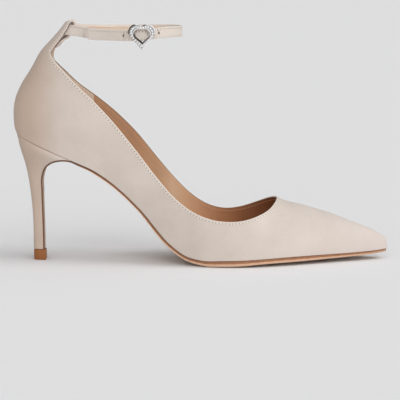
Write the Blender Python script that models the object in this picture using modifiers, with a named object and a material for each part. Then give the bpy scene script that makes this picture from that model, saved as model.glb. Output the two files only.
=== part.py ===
"""Right ankle strap court shoe: pointed closed toe, slim high heel, strap through a folded heel tab.

Sizes are millimetres in the shoe's own frame: +X towards the toe, -Y the outer (lateral) side, +Z up
from the floor. MM turns them into metres when a mesh is made.
"""

import math

import bmesh
import bpy
import numpy as np

MM = 0.001
GAP = 0.3
WELD = 0.02
CREASE_ANGLE = 40.0

# Half steps between which a direction along a curve is measured
PROBE = 0.2
PROBE_ANGLE = 0.5

# Main sizes
WALL = 1.6
TOE_X = 125.1
THROAT_X = 51.2
HEEL_AXIS_X = -80.0
SEAT_SLOPE = -0.421
SEAT_BACK_Z = 84.1
FOOTPRINT_CENTRE = (1.1, 0.0)
TOE_SWING = 3.0
TOE_SWING_POWER = 1.5

# Sections of the last from the toe back to the heel axis: the feather line is where the upper meets the
# sole, the bulge is the widest place above it, and the ridge is the top of the last.
LAST_COLUMNS = ("x", "feather_z", "outer_feather", "outer_bulge", "inner_feather", "inner_bulge", "ridge_z")
LAST = (
    (TOE_X, 7.3, 0.0, 0.0, 0.0, 0.0, 11.0),
    (121.4, 6.9, 4.6, 4.7, 4.6, 4.7, 16.1),
    (112.0, 6.4, 8.8, 9.0, 9.0, 9.2, 20.9),
    (101.0, 6.2, 13.2, 13.6, 13.8, 14.1, 25.2),
    (86.0, 6.2, 19.2, 19.8, 21.0, 21.4, 31.0),
    (69.0, 6.2, 25.8, 26.6, 28.6, 29.1, 36.1),
    (THROAT_X, 6.0, 32.3, 33.4, 34.4, 35.2, 41.7),
    (40.0, 5.6, 35.6, 36.9, 36.3, 37.4, 50.5),
    (28.0, 5.1, 37.0, 38.4, 35.8, 37.4, 61.0),
    (15.0, 4.8, 36.5, 38.2, 33.3, 35.6, 73.0),
    (0.0, 4.7, 33.0, 35.6, 27.5, 31.4, 88.0),
    (-10.0, 7.2, 29.0, 32.5, 23.4, 28.5, 97.1),
    (-20.0, 14.2, 25.0, 29.4, 19.8, 26.0, 106.0),
    (-40.0, 37.2, 20.5, 26.2, 15.8, 23.8, 124.5),
    (-60.0, 55.5, 20.3, 25.4, 17.0, 23.8, 143.0),
    (-70.0, 62.2, 20.9, 25.4, 19.2, 24.6, 152.0),
    (HEEL_AXIS_X, 66.8, 21.5, 25.5, 21.5, 25.5, 161.0),
)
FULLNESS = 0.92
FEATHER_POWER = 4

# Height of the upper's top edge on its outer and inner side
TOPLINE = (
    (THROAT_X, 41.7, 41.7),
    (46.5, 37.6, 39.2),
    (38.0, 33.5, 35.0),
    (28.0, 30.8, 31.4),
    (17.0, 30.3, 30.2),
    (5.0, 32.2, 33.4),
    (-6.4, 37.1, 41.1),
    (-18.0, 46.2, 53.2),
    (-30.0, 60.2, 68.0),
    (-41.6, 75.4, 82.6),
    (-54.8, 91.9, 96.1),
    (-68.5, 106.9, 107.3),
    (HEEL_AXIS_X, 117.9, 115.5),
)

# The same edges round the back, by the angle about the heel axis, up to the corners of the tab
OUTER_BACK_TOPLINE = ((0.0, 117.9), (8.6, 123.0), (16.0, 126.8), (24.0, 130.2), (31.0, 133.1), (45.0, 138.3))
INNER_BACK_TOPLINE = ((0.0, 115.5), (5.6, 118.6), (17.3, 124.7), (30.3, 130.0), (40.0, 134.0), (45.0, 138.3))

# Back outline in the middle of the heel, from the floor to the top of the tab: height and x
BACK = (
    (7.3, -110.8),
    (26.9, -111.0),
    (41.0, -112.0),
    (53.8, -113.6),
    (64.5, -115.8),
    (74.5, -118.8),
    (SEAT_BACK_Z, -121.1),
    (87.5, -122.3),
    (93.1, -123.0),
    (98.4, -123.1),
    (103.7, -122.6),
    (109.0, -121.3),
    (116.5, -118.0),
    (127.0, -111.4),
    (139.9, -103.8),
    (148.2, -96.1),
    (153.1, -91.9),
    (158.0, -88.2),
)

# Tab: half angle at its foot and top, fold over the strap and depth of the inner layer
TAB_FOOT_Z = 138.3
TAB_FOLD_Z = 157.4
TAB_FOOT_ANGLE = 45.0
TAB_TOP_ANGLE = 39.0
TAB_NARROWING_Z = 140.0
TAB_NARROWING = -0.33
TUNNEL = 2.6
FOLD_RADIUS = (2 * WALL + TUNNEL) / 2
TAB_INNER_LAYER = ((150.2, 2 * FOLD_RADIUS), (147.2, 2 * WALL + 0.6), (143.0, 2 * WALL + GAP))

# Line of the outsole's inner face under the heel wing and down the heel breast, with the half width of
# the heel there and the height at the back of the heel that belongs to the same heel section
BREAST = (
    (-84.0, 68.15, 20.6, SEAT_BACK_Z),
    (-87.0, 68.7, 20.9, 83.7),
    (-91.3, 68.7, 20.6, 81.4),
    (-95.4, 67.8, 18.8, 78.2),
    (-98.9, 66.0, 15.6, 74.3),
    (-102.2, 62.8, 11.6, 69.0),
    (-104.6, 56.5, 7.8, 60.0),
    (-104.9, 45.5, 5.6, 47.0),
    (-104.7, 33.9, 4.9, 34.5),
    (-104.4, 21.8, 4.5, 22.0),
    (-104.3, 7.4, 4.3, 7.4),
)
BREAST_SAMPLES = 120
WING_ROW = 1
FLAP = 1.0

# Heel block: spacing of its sections, how far the seat's ellipse runs past its front, and how much squarer
# the stem is than an ellipse
SECTION_SPREAD = 1.1
SEAT_OVERRUN = 0.2
STEM_SQUARENESS = 0.25

# Outsole: thickness at its edge along the foot, how much deeper its middle is, which stands on the floor,
# inset of its edge from the feather line, and edge chamfer
SOLE_TIP_X = 124.3
SOLE_THICKNESS = (
    (SOLE_TIP_X, 1.5),
    (115.0, 2.0),
    (101.0, 2.4),
    (85.0, 2.8),
    (60.0, 3.3),
    (40.0, 3.2),
    (25.0, 3.7),
    (10.0, 3.75),
    (-4.0, 3.05),
    (-11.0, 2.75),
    (-20.0, 2.4),
    (-30.0, 2.25),
    (-45.0, 1.9),
    (-72.0, 1.8),
    (-84.0, FLAP),
)
SOLE_CROWN = (
    (SOLE_TIP_X, 0.2),
    (101.0, 0.7),
    (60.0, 1.2),
    (0.0, 1.2),
    (-12.0, 0.5),
    (-30.0, 0.4),
    (-70.0, 0.3),
    (-84.0, 0.0),
)
CROWN_SHARE = 0.55
SOLE_INSET = ((SOLE_TIP_X, 0.2), (30.0, 0.4), (-10.0, 1.2), (-70.0, 1.4), (-84.0, 0.9))
SOLE_CHAMFER = 0.7
CHAMFER_SHARE = 0.25
MOST_CHAMFER = 0.4
SOLE_NOSE = 0.7

INSOLE_THICKNESS = 2.5
INSOLE_LIFT = 0.15
INSOLE_TOE_X = 113.0
INSOLE_CLEARANCE = 0.5
INSOLE_ENDS = (0.015, 0.97)
TOE_TAPER = 0.018

TOP_PIECE_HEIGHT = 7.0
TOP_PIECE_FRONT_X = -102.5
TOP_PIECE_HALF_WIDTH = 4.5

# Ankle strap: centre line after it leaves the tunnel. The under layer holds the buckle and the free end
# comes round the front of the ankle and lies over it.
STRAP_WIDTH = 7.0
STRAP_THICKNESS = 1.6
STRAP_TUNNEL_Z = 153.9
STRAP_TUNNEL_ANGLES = (38.0, 55.0, 72.0, 90.0, 108.0, 125.0, 142.0)
UNDER_LAYER = (
    (-38.0, -24.6, 150.3),
    (-46.0, -23.6, 150.1),
    (-55.0, -20.9, 150.2),
    (-66.0, -16.6, 150.5),
    (-77.0, -11.9, 151.8),
)
ROUND_ANKLE = (
    (-77.0, 11.9, 152.4),
    (-65.0, 16.9, 151.8),
    (-52.0, 22.6, 151.5),
    (-38.0, 25.6, 151.6),
    (-24.0, 21.9, 151.7),
    (-15.0, 12.4, 151.8),
    (-12.4, 0.0, 151.9),
    (-15.0, -14.0, 152.0),
    (-22.0, -23.4, 152.0),
    (-30.0, -28.3, 151.4),
    (-37.0, -29.9, 150.5),
    (-44.0, -29.5, 150.1),
    (-51.0, -27.0, 150.1),
    (-60.0, -22.3, 150.2),
    (-67.0, -18.6, 150.3),
    (-74.8, -15.3, 150.6),
)
HOOK_TURN = 200.0
HOOK_STEPS = 8
STRAP_STEPS = 120
STRAP_TIP_LENGTH = 4.5
STRAP_TIP_END = 0.49

# Buckle: heart frame over the strap and a bar behind the free end
HEART_X = -37.2
HEART_BACK_Y = -31.1
HEART_TOP_Z = 157.6
HEART_SIZE = (17.5, 16.5)
HEART_LOBE = 0.3
HEART_RIM = 3.1
HEART_OPENING = (10.8, 9.7)
OPENING_LOBE = 0.36
HEART_DEPTH = 2.2
BAR_SIZE = 1.2
BAR_SINK = 0.6
BAR_TO_STRAP = 0.5 * (BAR_SIZE + STRAP_THICKNESS) + GAP
BAR_X = UNDER_LAYER[0][0]
BAR_Y = UNDER_LAYER[0][1] - BAR_TO_STRAP
BAR_ENDS_Z = (143.3, 155.1)

COLOURS = {
    "suede": ((0.62, 0.52, 0.44), 0.85, 0.0),
    "sole_leather": ((0.36, 0.19, 0.09), 0.6, 0.0),
    "tip": ((0.25, 0.1, 0.04), 0.5, 0.0),
    "lining": ((0.42, 0.26, 0.16), 0.65, 0.0),
    "metal": ((0.75, 0.75, 0.76), 0.25, 1.0),
}


def through(knots, values):
    """Cubic curve through the values, each with the slope of the parabola through its neighbours."""
    knots = np.asarray(knots, float)
    values = np.asarray(values, float).reshape(len(knots), -1)
    steps = np.diff(knots)[:, None]
    rises = np.diff(values, axis=0) / steps
    slopes = np.empty_like(values)
    slopes[0], slopes[-1] = rises[0], rises[-1]
    slopes[1:-1] = (rises[1:] * steps[:-1] + rises[:-1] * steps[1:]) / (steps[:-1] + steps[1:])

    def at(places):
        places = np.asarray(places, float)
        flat = np.clip(places.ravel(), knots[0], knots[-1])
        low = np.clip(np.searchsorted(knots, flat) - 1, 0, len(steps) - 1)
        t = (flat - knots[low])[:, None] / steps[low]
        start = (1 + 2 * t) * (1 - t) ** 2 * values[low] + t * (1 - t) ** 2 * steps[low] * slopes[low]
        end = t * t * (3 - 2 * t) * values[low + 1] - t * t * (1 - t) * steps[low] * slopes[low + 1]
        found = (start + end).reshape(places.shape + (values.shape[1],))
        return found[..., 0] if values.shape[1] == 1 else found

    return at


def along(table, column):
    """Curve of a table's column against -x: the first column is x, falling from the toe to the heel."""
    return through([-row[0] for row in table], [row[column] for row in table])


def from_toe(x):
    """Distance from the toe tip as a square root, in which a rounded nose is a straight line."""
    return np.sqrt(np.maximum(TOE_X - np.asarray(x, float), 0.0))


LAST_CURVES = {
    name: through(from_toe([row[0] for row in LAST]), [row[place] for row in LAST])
    for place, name in enumerate(LAST_COLUMNS)
}
OUTER_TOPLINE = along(TOPLINE, 1)
INNER_TOPLINE = along(TOPLINE, 2)
SOLE_DEPTH = along(SOLE_THICKNESS, 1)
MIDDLE_DEPTH = along(SOLE_CROWN, 1)
EDGE_INSET = along(SOLE_INSET, 1)
BACK_X = through([row[0] for row in BACK], [row[1] for row in BACK])
OUTER_BACK_EDGE = through([row[0] for row in OUTER_BACK_TOPLINE], [row[1] for row in OUTER_BACK_TOPLINE])
INNER_BACK_EDGE = through([row[0] for row in INNER_BACK_TOPLINE], [row[1] for row in INNER_BACK_TOPLINE])


def last_value(name, x):
    return LAST_CURVES[name](from_toe(x))


def feather_z(x):
    """Height of the feather line: the last's bottom, going on as the straight heel seat."""
    x = np.asarray(x, float)
    seat = LAST[-1][1] + SEAT_SLOPE * (x - HEEL_AXIS_X)
    return np.where(x < HEEL_AXIS_X, seat, last_value("feather_z", np.maximum(x, HEEL_AXIS_X)))


def centre_y(x):
    """The toe of a right shoe swings towards the inner side."""
    ahead = np.maximum(np.asarray(x, float), 0.0) / TOE_X
    return TOE_SWING * ahead**TOE_SWING_POWER


def side_section(x, side, rows):
    """Points of one section from the feather line up to the top edge, on one side of the last."""
    name = "outer" if side < 0 else "inner"
    topline = OUTER_TOPLINE if side < 0 else INNER_TOPLINE
    base = last_value("feather_z", x)
    height = last_value("ridge_z", x) - base
    feather = last_value(name + "_feather", x)
    bulge = last_value(name + "_bulge", x)
    rise = 1.0 if x >= THROAT_X else min(1.0, (topline(-x) - base) / height)
    turn = np.asarray(rows) * math.asin(rise)
    tuck = (bulge - feather) * (1 - np.sin(turn)) ** FEATHER_POWER
    half = bulge * np.cos(turn).clip(0) ** FULLNESS - tuck
    z = base + height * np.sin(turn)
    return np.stack([np.full_like(turn, x), centre_y(x) + side * half, z], axis=-1)


def heel_surface(angle, z):
    """Outer surface round the back: half ellipses about the heel axis, from outer to inner side."""
    turn = np.radians(angle)
    base, feather, bulge = LAST[-1][1:4]
    height = LAST[-1][6] - base
    depth = HEEL_AXIS_X - BACK_X(np.maximum(z, SEAT_BACK_Z))
    reach = HEEL_AXIS_X - depth * np.sin(turn)
    above = np.clip((z - feather_z(reach)) / height, 0, 1)
    lean = np.minimum(z, TAB_NARROWING_Z)
    cosine = np.sqrt(1 - ((lean - base) / height) ** 2)
    tuck = (bulge - feather) * (1 - above) ** FEATHER_POWER
    half = bulge * cosine**FULLNESS - tuck + TAB_NARROWING * np.maximum(z - TAB_NARROWING_Z, 0)
    return np.stack([reach, -half * np.cos(turn), np.broadcast_to(z, reach.shape)], axis=-1)


def heel_seat_z(angle):
    """Height of the feather line at an angle about the heel axis."""
    reach = HEEL_AXIS_X - (HEEL_AXIS_X - BACK_X(SEAT_BACK_Z)) * np.sin(np.radians(angle))
    return feather_z(reach)


def unit(vectors):
    return vectors / np.linalg.norm(vectors, axis=-1, keepdims=True)


def heel_frame(angle, z):
    """Point of the heel surface with its inward normal and the direction up the surface."""
    point = heel_surface(angle, z)
    up = unit(heel_surface(angle, z + PROBE) - heel_surface(angle, z - PROBE))
    around = unit(heel_surface(angle + PROBE_ANGLE, z) - heel_surface(angle - PROBE_ANGLE, z))
    return point, unit(np.cross(around, up)), up


def upper_grid(row_count=12, toe_count=16, side_count=24, corner_count=7, tab_count=12):
    """Columns of points from the toe along the outer side, round the heel and back along the inner side."""
    rows = np.linspace(0, 1, row_count + 1)
    vamp = TOE_X - np.linspace(0, from_toe(THROAT_X), toe_count) ** 2
    quarter = THROAT_X - np.linspace(0, math.sqrt(THROAT_X - HEEL_AXIS_X), side_count + 1)[1:] ** 2
    stations = np.concatenate([vamp[:-1], [THROAT_X], quarter])
    outer = [side_section(x, -1, rows) for x in stations]
    inner = [side_section(x, 1, rows) for x in stations[::-1]]
    base, ridge = LAST[-1][1], LAST[-1][6]
    heel_turn = math.asin((TOPLINE[-1][1] - base) / (ridge - base))
    shares = np.sin(rows * heel_turn) / math.sin(heel_turn)
    edge = np.linspace(0, TAB_FOOT_ANGLE, corner_count + 1)
    tab = np.linspace(TAB_FOOT_ANGLE, 180 - TAB_FOOT_ANGLE, tab_count + 1)
    angles = np.concatenate([edge, tab[1:-1], 180 - edge[::-1]])
    heel = []
    for angle in angles[1:-1]:
        low = heel_seat_z(angle)
        back_edge = OUTER_BACK_EDGE if angle < 90 else INNER_BACK_EDGE
        top = back_edge(min(angle, 180 - angle, TAB_FOOT_ANGLE))
        heel.append(heel_surface(np.full_like(shares, angle), low + (top - low) * shares))
    return np.array(outer + heel + inner), tab


def tab_grid(tab_angles, rise_count=8, fold_count=6):
    """Rows of the tab: up the outside, over the fold and down the inner layer that closes the tunnel."""
    widen = through([TAB_FOOT_Z, TAB_FOLD_Z], [1.0, (90 - TAB_TOP_ANGLE) / (90 - TAB_FOOT_ANGLE)])

    def row(z, depth, beyond):
        angle = 90 + (tab_angles - 90) * widen(z)
        point, inward, up = heel_frame(angle, np.full_like(angle, z))
        return point + depth * inward + beyond * up

    rows = [row(z, 0.0, 0.0) for z in np.linspace(TAB_FOOT_Z, TAB_FOLD_Z, rise_count + 1)]
    for turn in np.linspace(0, math.pi, fold_count + 1)[1:]:
        rows.append(row(TAB_FOLD_Z, FOLD_RADIUS * (1 - math.cos(turn)), FOLD_RADIUS * math.sin(turn)))
    for z in np.linspace(TAB_FOLD_Z, TAB_INNER_LAYER[0][0], 4)[1:-1]:
        rows.append(row(z, 2 * FOLD_RADIUS, 0.0))
    rows += [row(z, depth, 0.0) for z, depth in TAB_INNER_LAYER]
    return np.array(rows).transpose(1, 0, 2)


def grid_faces(columns, rows, start):
    """Quads of a grid whose points are counted up each column, facing the side that runs against -X."""
    place = start + np.arange(columns * rows).reshape(columns, rows)
    corners = (place[:-1, :-1], place[:-1, 1:], place[1:, 1:], place[1:, :-1])
    return np.stack([corner.ravel() for corner in corners], axis=1).tolist()


def loft_faces(rings, points):
    """Sides between rings of points, each ring closed on itself, and a cap at each end."""
    place = np.arange(rings * points).reshape(rings, points)
    after = np.roll(place, -1, axis=1)
    corners = (place[:-1], after[:-1], after[1:], place[1:])
    sides = np.stack([corner.ravel() for corner in corners], axis=1).tolist()
    return sides + [place[0, ::-1].tolist(), place[-1].tolist()]


def make_material(name):
    colour, roughness, metallic = COLOURS[name]
    material = bpy.data.materials.get(name) or bpy.data.materials.new(name)
    material.use_nodes = True
    shader = material.node_tree.nodes["Principled BSDF"]
    shader.inputs["Base Color"].default_value = (*colour, 1.0)
    shader.inputs["Roughness"].default_value = roughness
    shader.inputs["Metallic"].default_value = metallic
    return material


def add_piece(name, points, faces, material, turn_out=True):
    """One named object from points in millimetres, with coincident points welded."""
    mesh = bpy.data.meshes.new(name)
    mesh.from_pydata((np.asarray(points, float).reshape(-1, 3) * MM).tolist(), [], faces)
    work = bmesh.new()
    work.from_mesh(mesh)
    bmesh.ops.remove_doubles(work, verts=work.verts, dist=WELD * MM)
    if turn_out:
        bmesh.ops.recalc_face_normals(work, faces=work.faces)
    work.to_mesh(mesh)
    work.free()
    mesh.shade_smooth()
    mesh.set_sharp_from_angle(angle=math.radians(CREASE_ANGLE))
    mesh.materials.append(make_material(material))
    piece = bpy.data.objects.new(name, mesh)
    PARTS.objects.link(piece)
    piece.parent = SHOE
    return piece


def add_upper():
    grid, tab_angles = upper_grid()
    tab = tab_grid(tab_angles)
    points = np.concatenate([grid.reshape(-1, 3), tab.reshape(-1, 3)])
    faces = grid_faces(*grid.shape[:2], 0) + grid_faces(*tab.shape[:2], grid.shape[0] * grid.shape[1])
    upper = add_piece("upper", points, faces, "suede", turn_out=False)
    wall = upper.modifiers.new("wall", "SOLIDIFY")
    wall.thickness = WALL * MM
    wall.offset = -1.0
    wall.use_quality_normals = True


def insole_half_widths(x):
    """Half widths of the insole inside the wall, on the outer and inner side."""
    inset = WALL + INSOLE_CLEARANCE + TOE_TAPER * np.maximum(x - THROAT_X, 0)
    depth = HEEL_AXIS_X - BACK_X(SEAT_BACK_Z) - WALL - INSOLE_CLEARANCE
    round_heel = np.sqrt(np.clip(1 - (np.minimum(x - HEEL_AXIS_X, 0) / depth) ** 2, 0, 1))
    return [(last_value(side + "_feather", np.maximum(x, HEEL_AXIS_X)) - inset) * round_heel
            for side in ("outer", "inner")]


def add_insole(count=48):
    """Board that follows the feather surface, shaped by its plan outline."""
    depth = HEEL_AXIS_X - BACK_X(SEAT_BACK_Z) - WALL - INSOLE_CLEARANCE
    back = HEEL_AXIS_X - depth
    place = 0.5 - 0.5 * np.cos(math.pi * np.linspace(*INSOLE_ENDS, count))
    x = back + (INSOLE_TOE_X - back) * place
    outer, inner = insole_half_widths(x)
    middle = centre_y(x)
    low = feather_z(x) + INSOLE_LIFT
    high = low + INSOLE_THICKNESS
    across = (middle - outer, middle - outer / 3, middle + inner / 3, middle + inner)
    under = [np.column_stack([x, y, low]) for y in across]
    over = [np.column_stack([x, y, high]) for y in across[::-1]]
    points = np.stack(under + over, axis=1)
    add_piece("insole", points, loft_faces(*points.shape[:2]), "lining")


def breast_curve(count):
    """Points down the heel breast with their half width, back height and the direction out of the heel."""
    table = np.asarray(BREAST, float)
    chord = np.concatenate([[0], np.cumsum(np.hypot(*np.diff(table[:, :2], axis=0).T))])
    curve = through(chord, table)
    places = np.linspace(0, chord[-1], count)
    values = curve(places)
    step = curve(places + PROBE)[:, :2] - curve(places - PROBE)[:, :2]
    along_line = unit(step)
    outward = np.stack([-along_line[:, 1], along_line[:, 0]], axis=1)
    return values, outward, places, chord[WING_ROW]


def add_outsole(foot_count=56, breast_count=30):
    """Strip from the toe under the foot, then under the heel wing and down the heel breast."""
    x = SOLE_TIP_X - np.linspace(0, math.sqrt(SOLE_TIP_X - BREAST[0][0]), foot_count) ** 2
    slope = (feather_z(x + PROBE) - feather_z(x - PROBE)) / (2 * PROBE)
    secant = np.sqrt(1 + slope**2)
    top = feather_z(x) - GAP * secant
    bottom = top - SOLE_DEPTH(-x) * secant
    tread = np.maximum(bottom - MIDDLE_DEPTH(-x) * secant, 0.0)
    inset = EDGE_INSET(-x)
    on_last = np.maximum(x, HEEL_AXIS_X)
    foot_outer = np.maximum(last_value("outer_feather", on_last) - inset, SOLE_NOSE)
    foot_inner = np.maximum(last_value("inner_feather", on_last) - inset, SOLE_NOSE)
    foot_top = np.stack([x, top], axis=1)
    foot_bottom = np.stack([x, bottom], axis=1)
    foot_tread = np.stack([x, tread], axis=1)
    values, outward, _, _ = breast_curve(breast_count)
    heel_top = values[1:, :2]
    heel_bottom = heel_top + FLAP * outward[1:]
    tops = np.concatenate([foot_top, heel_top])
    bottoms = np.concatenate([foot_bottom, heel_bottom])
    treads = np.concatenate([foot_tread, heel_bottom])
    outer = np.concatenate([foot_outer, values[1:, 2]])
    inner = np.concatenate([foot_inner, values[1:, 2]])
    middle = np.concatenate([centre_y(x), np.zeros(len(heel_top))])
    sides = bottoms + CHAMFER_SHARE * (tops - bottoms)
    cut = np.minimum(SOLE_CHAMFER, MOST_CHAMFER * np.minimum(outer, inner))
    ring = (
        (tops, middle - outer),
        (sides, middle - outer),
        (bottoms, middle - outer + cut),
        (treads, middle - CROWN_SHARE * outer),
        (treads, middle + CROWN_SHARE * inner),
        (bottoms, middle + inner - cut),
        (sides, middle + inner),
        (tops, middle + inner),
    )
    points = np.stack([np.column_stack([line[:, 0], y, line[:, 1]]) for line, y in ring], axis=1)
    add_piece("outsole", points, loft_faces(len(points), len(ring)), "sole_leather")


def add_heel(count=20, half_ring=12):
    """Sections that fan out from the stem to the heel seat, flat in front and rounded behind."""
    values, outward, places, wing = breast_curve(BREAST_SAMPLES)
    down = places / places[-1]
    start = wing / places[-1]
    share = start + (1 - start) * np.linspace(0, 1, count) ** SECTION_SPREAD
    front = np.stack([np.interp(share, down, values[:, k] - GAP * outward[:, k]) for k in (0, 1)], axis=1)
    half = np.interp(share, down, values[:, 2])
    back_z = np.interp(share, down, values[:, 3])
    back = np.stack([BACK_X(back_z), back_z], axis=1)
    blend = np.sqrt((share - start) / (1 - start))
    over = 1.0 + SEAT_OVERRUN * (1 - blend)
    power = 1.0 - STEM_SQUARENESS * blend
    rings = []
    for near, far, width, reach, full in zip(front, back, half, over, power):
        first = math.asin(1 - 1 / reach)
        turn = np.linspace(first, math.pi / 2, half_ring)
        forward = reach * (1 - np.sin(turn))
        wide = width * np.cos(turn).clip(0) ** full / math.cos(first) ** full
        line = far + forward[:, None] * (near - far)
        one_side = np.column_stack([line[:, 0], -wide, line[:, 1]])
        other = one_side[-2::-1] * (1, -1, 1)
        rings.append(np.concatenate([one_side, other]))
    points = np.array(rings)
    add_piece("heel", points, loft_faces(*points.shape[:2]), "suede")


def add_top_piece(half_ring=12):
    """Tip under the heel stem and the sole's flap, flat on the floor."""
    back = float(BACK_X(TOP_PIECE_HEIGHT))
    length = TOP_PIECE_FRONT_X - back
    turn = np.linspace(0, math.pi / 2, half_ring)
    x = TOP_PIECE_FRONT_X - length * np.sin(turn)
    y = TOP_PIECE_HALF_WIDTH * np.cos(turn).clip(0) ** (1 - STEM_SQUARENESS)
    one_side = np.column_stack([x, -y])
    outline = np.concatenate([one_side, one_side[-2::-1] * (1, -1)])
    rings = [np.column_stack([outline, np.full(len(outline), z)]) for z in (0.0, TOP_PIECE_HEIGHT)]
    points = np.array(rings)
    add_piece("top_piece", points, loft_faces(*points.shape[:2]), "tip")


def strap_route():
    """Centre line of the band and the direction of its width, from the buckle bar to the free end."""
    tunnel_depth = WALL + TUNNEL / 2
    angles = np.array(STRAP_TUNNEL_ANGLES)
    point, inward, up = heel_frame(angles, np.full_like(angles, STRAP_TUNNEL_Z))
    tunnel = point + tunnel_depth * inward
    upright = np.array([0.0, 0.0, 1.0])
    start = np.array(UNDER_LAYER, float)
    turn = np.radians(np.linspace(HOOK_TURN, 0, HOOK_STEPS + 1))[:-1]
    circle = np.column_stack([np.sin(turn), np.cos(turn), np.zeros_like(turn)])
    hook = np.array([BAR_X, BAR_Y, start[0, 2]]) + BAR_TO_STRAP * circle
    line = np.concatenate([hook, start, tunnel, np.array(ROUND_ANKLE, float)])
    before = np.tile(upright, (len(hook) + len(start), 1))
    after = np.tile(upright, (len(ROUND_ANKLE), 1))
    lean = np.concatenate([before, up, after])
    chord = np.concatenate([[0], np.cumsum(np.linalg.norm(np.diff(line, axis=0), axis=1))])
    return through(chord, np.concatenate([line, lean], axis=1)), chord


def add_strap():
    """Flat band swept along its route, with a rounded free end."""
    route, chord = strap_route()
    length = chord[-1]
    hook_end = chord[HOOK_STEPS]
    tip_start = length - STRAP_TIP_LENGTH
    on_hook = np.linspace(0, hook_end, HOOK_STEPS + 2)[:-1]
    on_band = np.linspace(hook_end, length, STRAP_STEPS)
    on_tip = tip_start + STRAP_TIP_LENGTH * np.sin(math.pi * np.linspace(0, STRAP_TIP_END, 7))
    places = np.concatenate([on_hook, on_band[on_band < tip_start], on_tip])
    values = route(places)
    centre = values[:, :3]
    after = route(np.minimum(places + PROBE, length))
    before = route(np.maximum(places - PROBE, 0))
    ahead = unit((after - before)[:, :3])
    thick = unit(np.cross(ahead, values[:, 3:]))
    wide = np.cross(thick, ahead)
    into_tip = np.clip((places - tip_start) / STRAP_TIP_LENGTH, 0, 1)
    half = (0.5 * STRAP_WIDTH * np.sqrt(1 - into_tip**2))[:, None] * wide
    depth = 0.5 * STRAP_THICKNESS * thick
    corners = (half + depth, half - depth, -half - depth, depth - half)
    points = np.stack([centre + corner for corner in corners], axis=1)
    add_piece("ankle_strap", points, loft_faces(*points.shape[:2]), "suede")


def heart(size, lobe_share, top, lobe_steps=12, side_steps=5):
    """Heart outline, point down: two lobes as arcs, and straight sides that touch them and meet below."""
    radius = lobe_share * size[0]
    lobe_x = 0.5 * size[0] - radius
    below = radius - size[1]
    notch = math.acos(lobe_x / radius)
    touch = math.asin(radius / math.hypot(lobe_x, below)) - math.atan2(lobe_x, -below)
    turn = np.linspace(math.pi - notch, -touch, lobe_steps)
    lobe = np.column_stack([lobe_x + radius * np.cos(turn), radius * np.sin(turn)])
    share = np.linspace(0, 1, side_steps + 1)[1:, None]
    right = np.concatenate([lobe, lobe[-1] + share * ((0.0, below) - lobe[-1])])
    left = right[-2:0:-1] * (-1, 1)
    return np.concatenate([right, left]) + (HEART_X, top - radius)


def add_buckle():
    """Heart frame with its bar, joined by legs that pass above and below the strap."""
    outer = heart(HEART_SIZE, HEART_LOBE, HEART_TOP_Z)
    inner = heart(HEART_OPENING, OPENING_LOBE, HEART_TOP_Z - HEART_RIM)
    front = HEART_BACK_Y - HEART_DEPTH
    ring = ((outer, front), (outer, HEART_BACK_Y), (inner, HEART_BACK_Y), (inner, front))
    edges = [np.column_stack([line[:, 0], np.full(len(line), y), line[:, 1]]) for line, y in ring]
    points = np.stack(edges, axis=1)
    place = np.arange(len(outer) * len(ring)).reshape(-1, len(ring))
    beside = np.roll(place, -1, axis=1)
    after, diagonal = np.roll(place, -1, axis=0), np.roll(beside, -1, axis=0)
    faces = np.stack([place, beside, diagonal, after], axis=-1).reshape(-1, 4).tolist()
    frame = add_piece("buckle", points, faces, "metal")
    low, high = BAR_ENDS_Z
    inside = HEART_BACK_Y - BAR_SINK * HEART_DEPTH
    half = 0.5 * BAR_SIZE
    outline = (
        (inside, low - half),
        (BAR_Y + half, low - half),
        (BAR_Y + half, high + half),
        (inside, high + half),
        (inside, high - half),
        (BAR_Y - half, high - half),
        (BAR_Y - half, low + half),
        (inside, low + half),
    )
    bar_points = [(BAR_X + side * half, y, z) for side in (-1, 1) for y, z in outline]
    bar = add_piece("buckle_bar", bar_points, loft_faces(2, len(outline)), "metal")
    PARTS.objects.unlink(bar)
    CUTTERS.objects.link(bar)
    bar.hide_render = True
    bar.display_type = "WIRE"
    join = frame.modifiers.new("bar", "BOOLEAN")
    join.operation = "UNION"
    join.object = bar


for old in list(bpy.data.objects):
    bpy.data.objects.remove(old, do_unlink=True)
PARTS = bpy.data.collections.new("ankle_strap_court_shoe")
CUTTERS = bpy.data.collections.new("joined_helpers")
bpy.context.scene.collection.children.link(PARTS)
bpy.context.scene.collection.children.link(CUTTERS)
SHOE = bpy.data.objects.new("shoe", None)
SHOE.location = (-FOOTPRINT_CENTRE[0] * MM, -FOOTPRINT_CENTRE[1] * MM, 0.0)
PARTS.objects.link(SHOE)
add_outsole()
add_heel()
add_top_piece()
add_insole()
add_upper()
add_strap()
add_buckle()
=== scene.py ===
import math

import bpy
import numpy as np
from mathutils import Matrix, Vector


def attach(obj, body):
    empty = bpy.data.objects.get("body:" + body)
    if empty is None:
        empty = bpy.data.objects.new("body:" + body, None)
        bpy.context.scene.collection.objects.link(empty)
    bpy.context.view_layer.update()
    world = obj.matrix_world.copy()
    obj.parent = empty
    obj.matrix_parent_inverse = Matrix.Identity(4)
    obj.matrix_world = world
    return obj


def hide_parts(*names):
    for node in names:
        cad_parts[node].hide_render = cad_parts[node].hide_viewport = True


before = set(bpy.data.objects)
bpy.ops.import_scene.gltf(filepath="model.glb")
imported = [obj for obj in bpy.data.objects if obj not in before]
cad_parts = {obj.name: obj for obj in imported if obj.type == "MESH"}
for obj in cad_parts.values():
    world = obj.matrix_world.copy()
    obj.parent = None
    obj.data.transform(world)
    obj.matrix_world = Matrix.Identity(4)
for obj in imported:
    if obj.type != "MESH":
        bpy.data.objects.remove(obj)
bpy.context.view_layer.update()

# Shapes are worked out in millimetres of the shoe: +x to the toe, -y the outer side, +z up from the floor.
mm = 0.001
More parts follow.
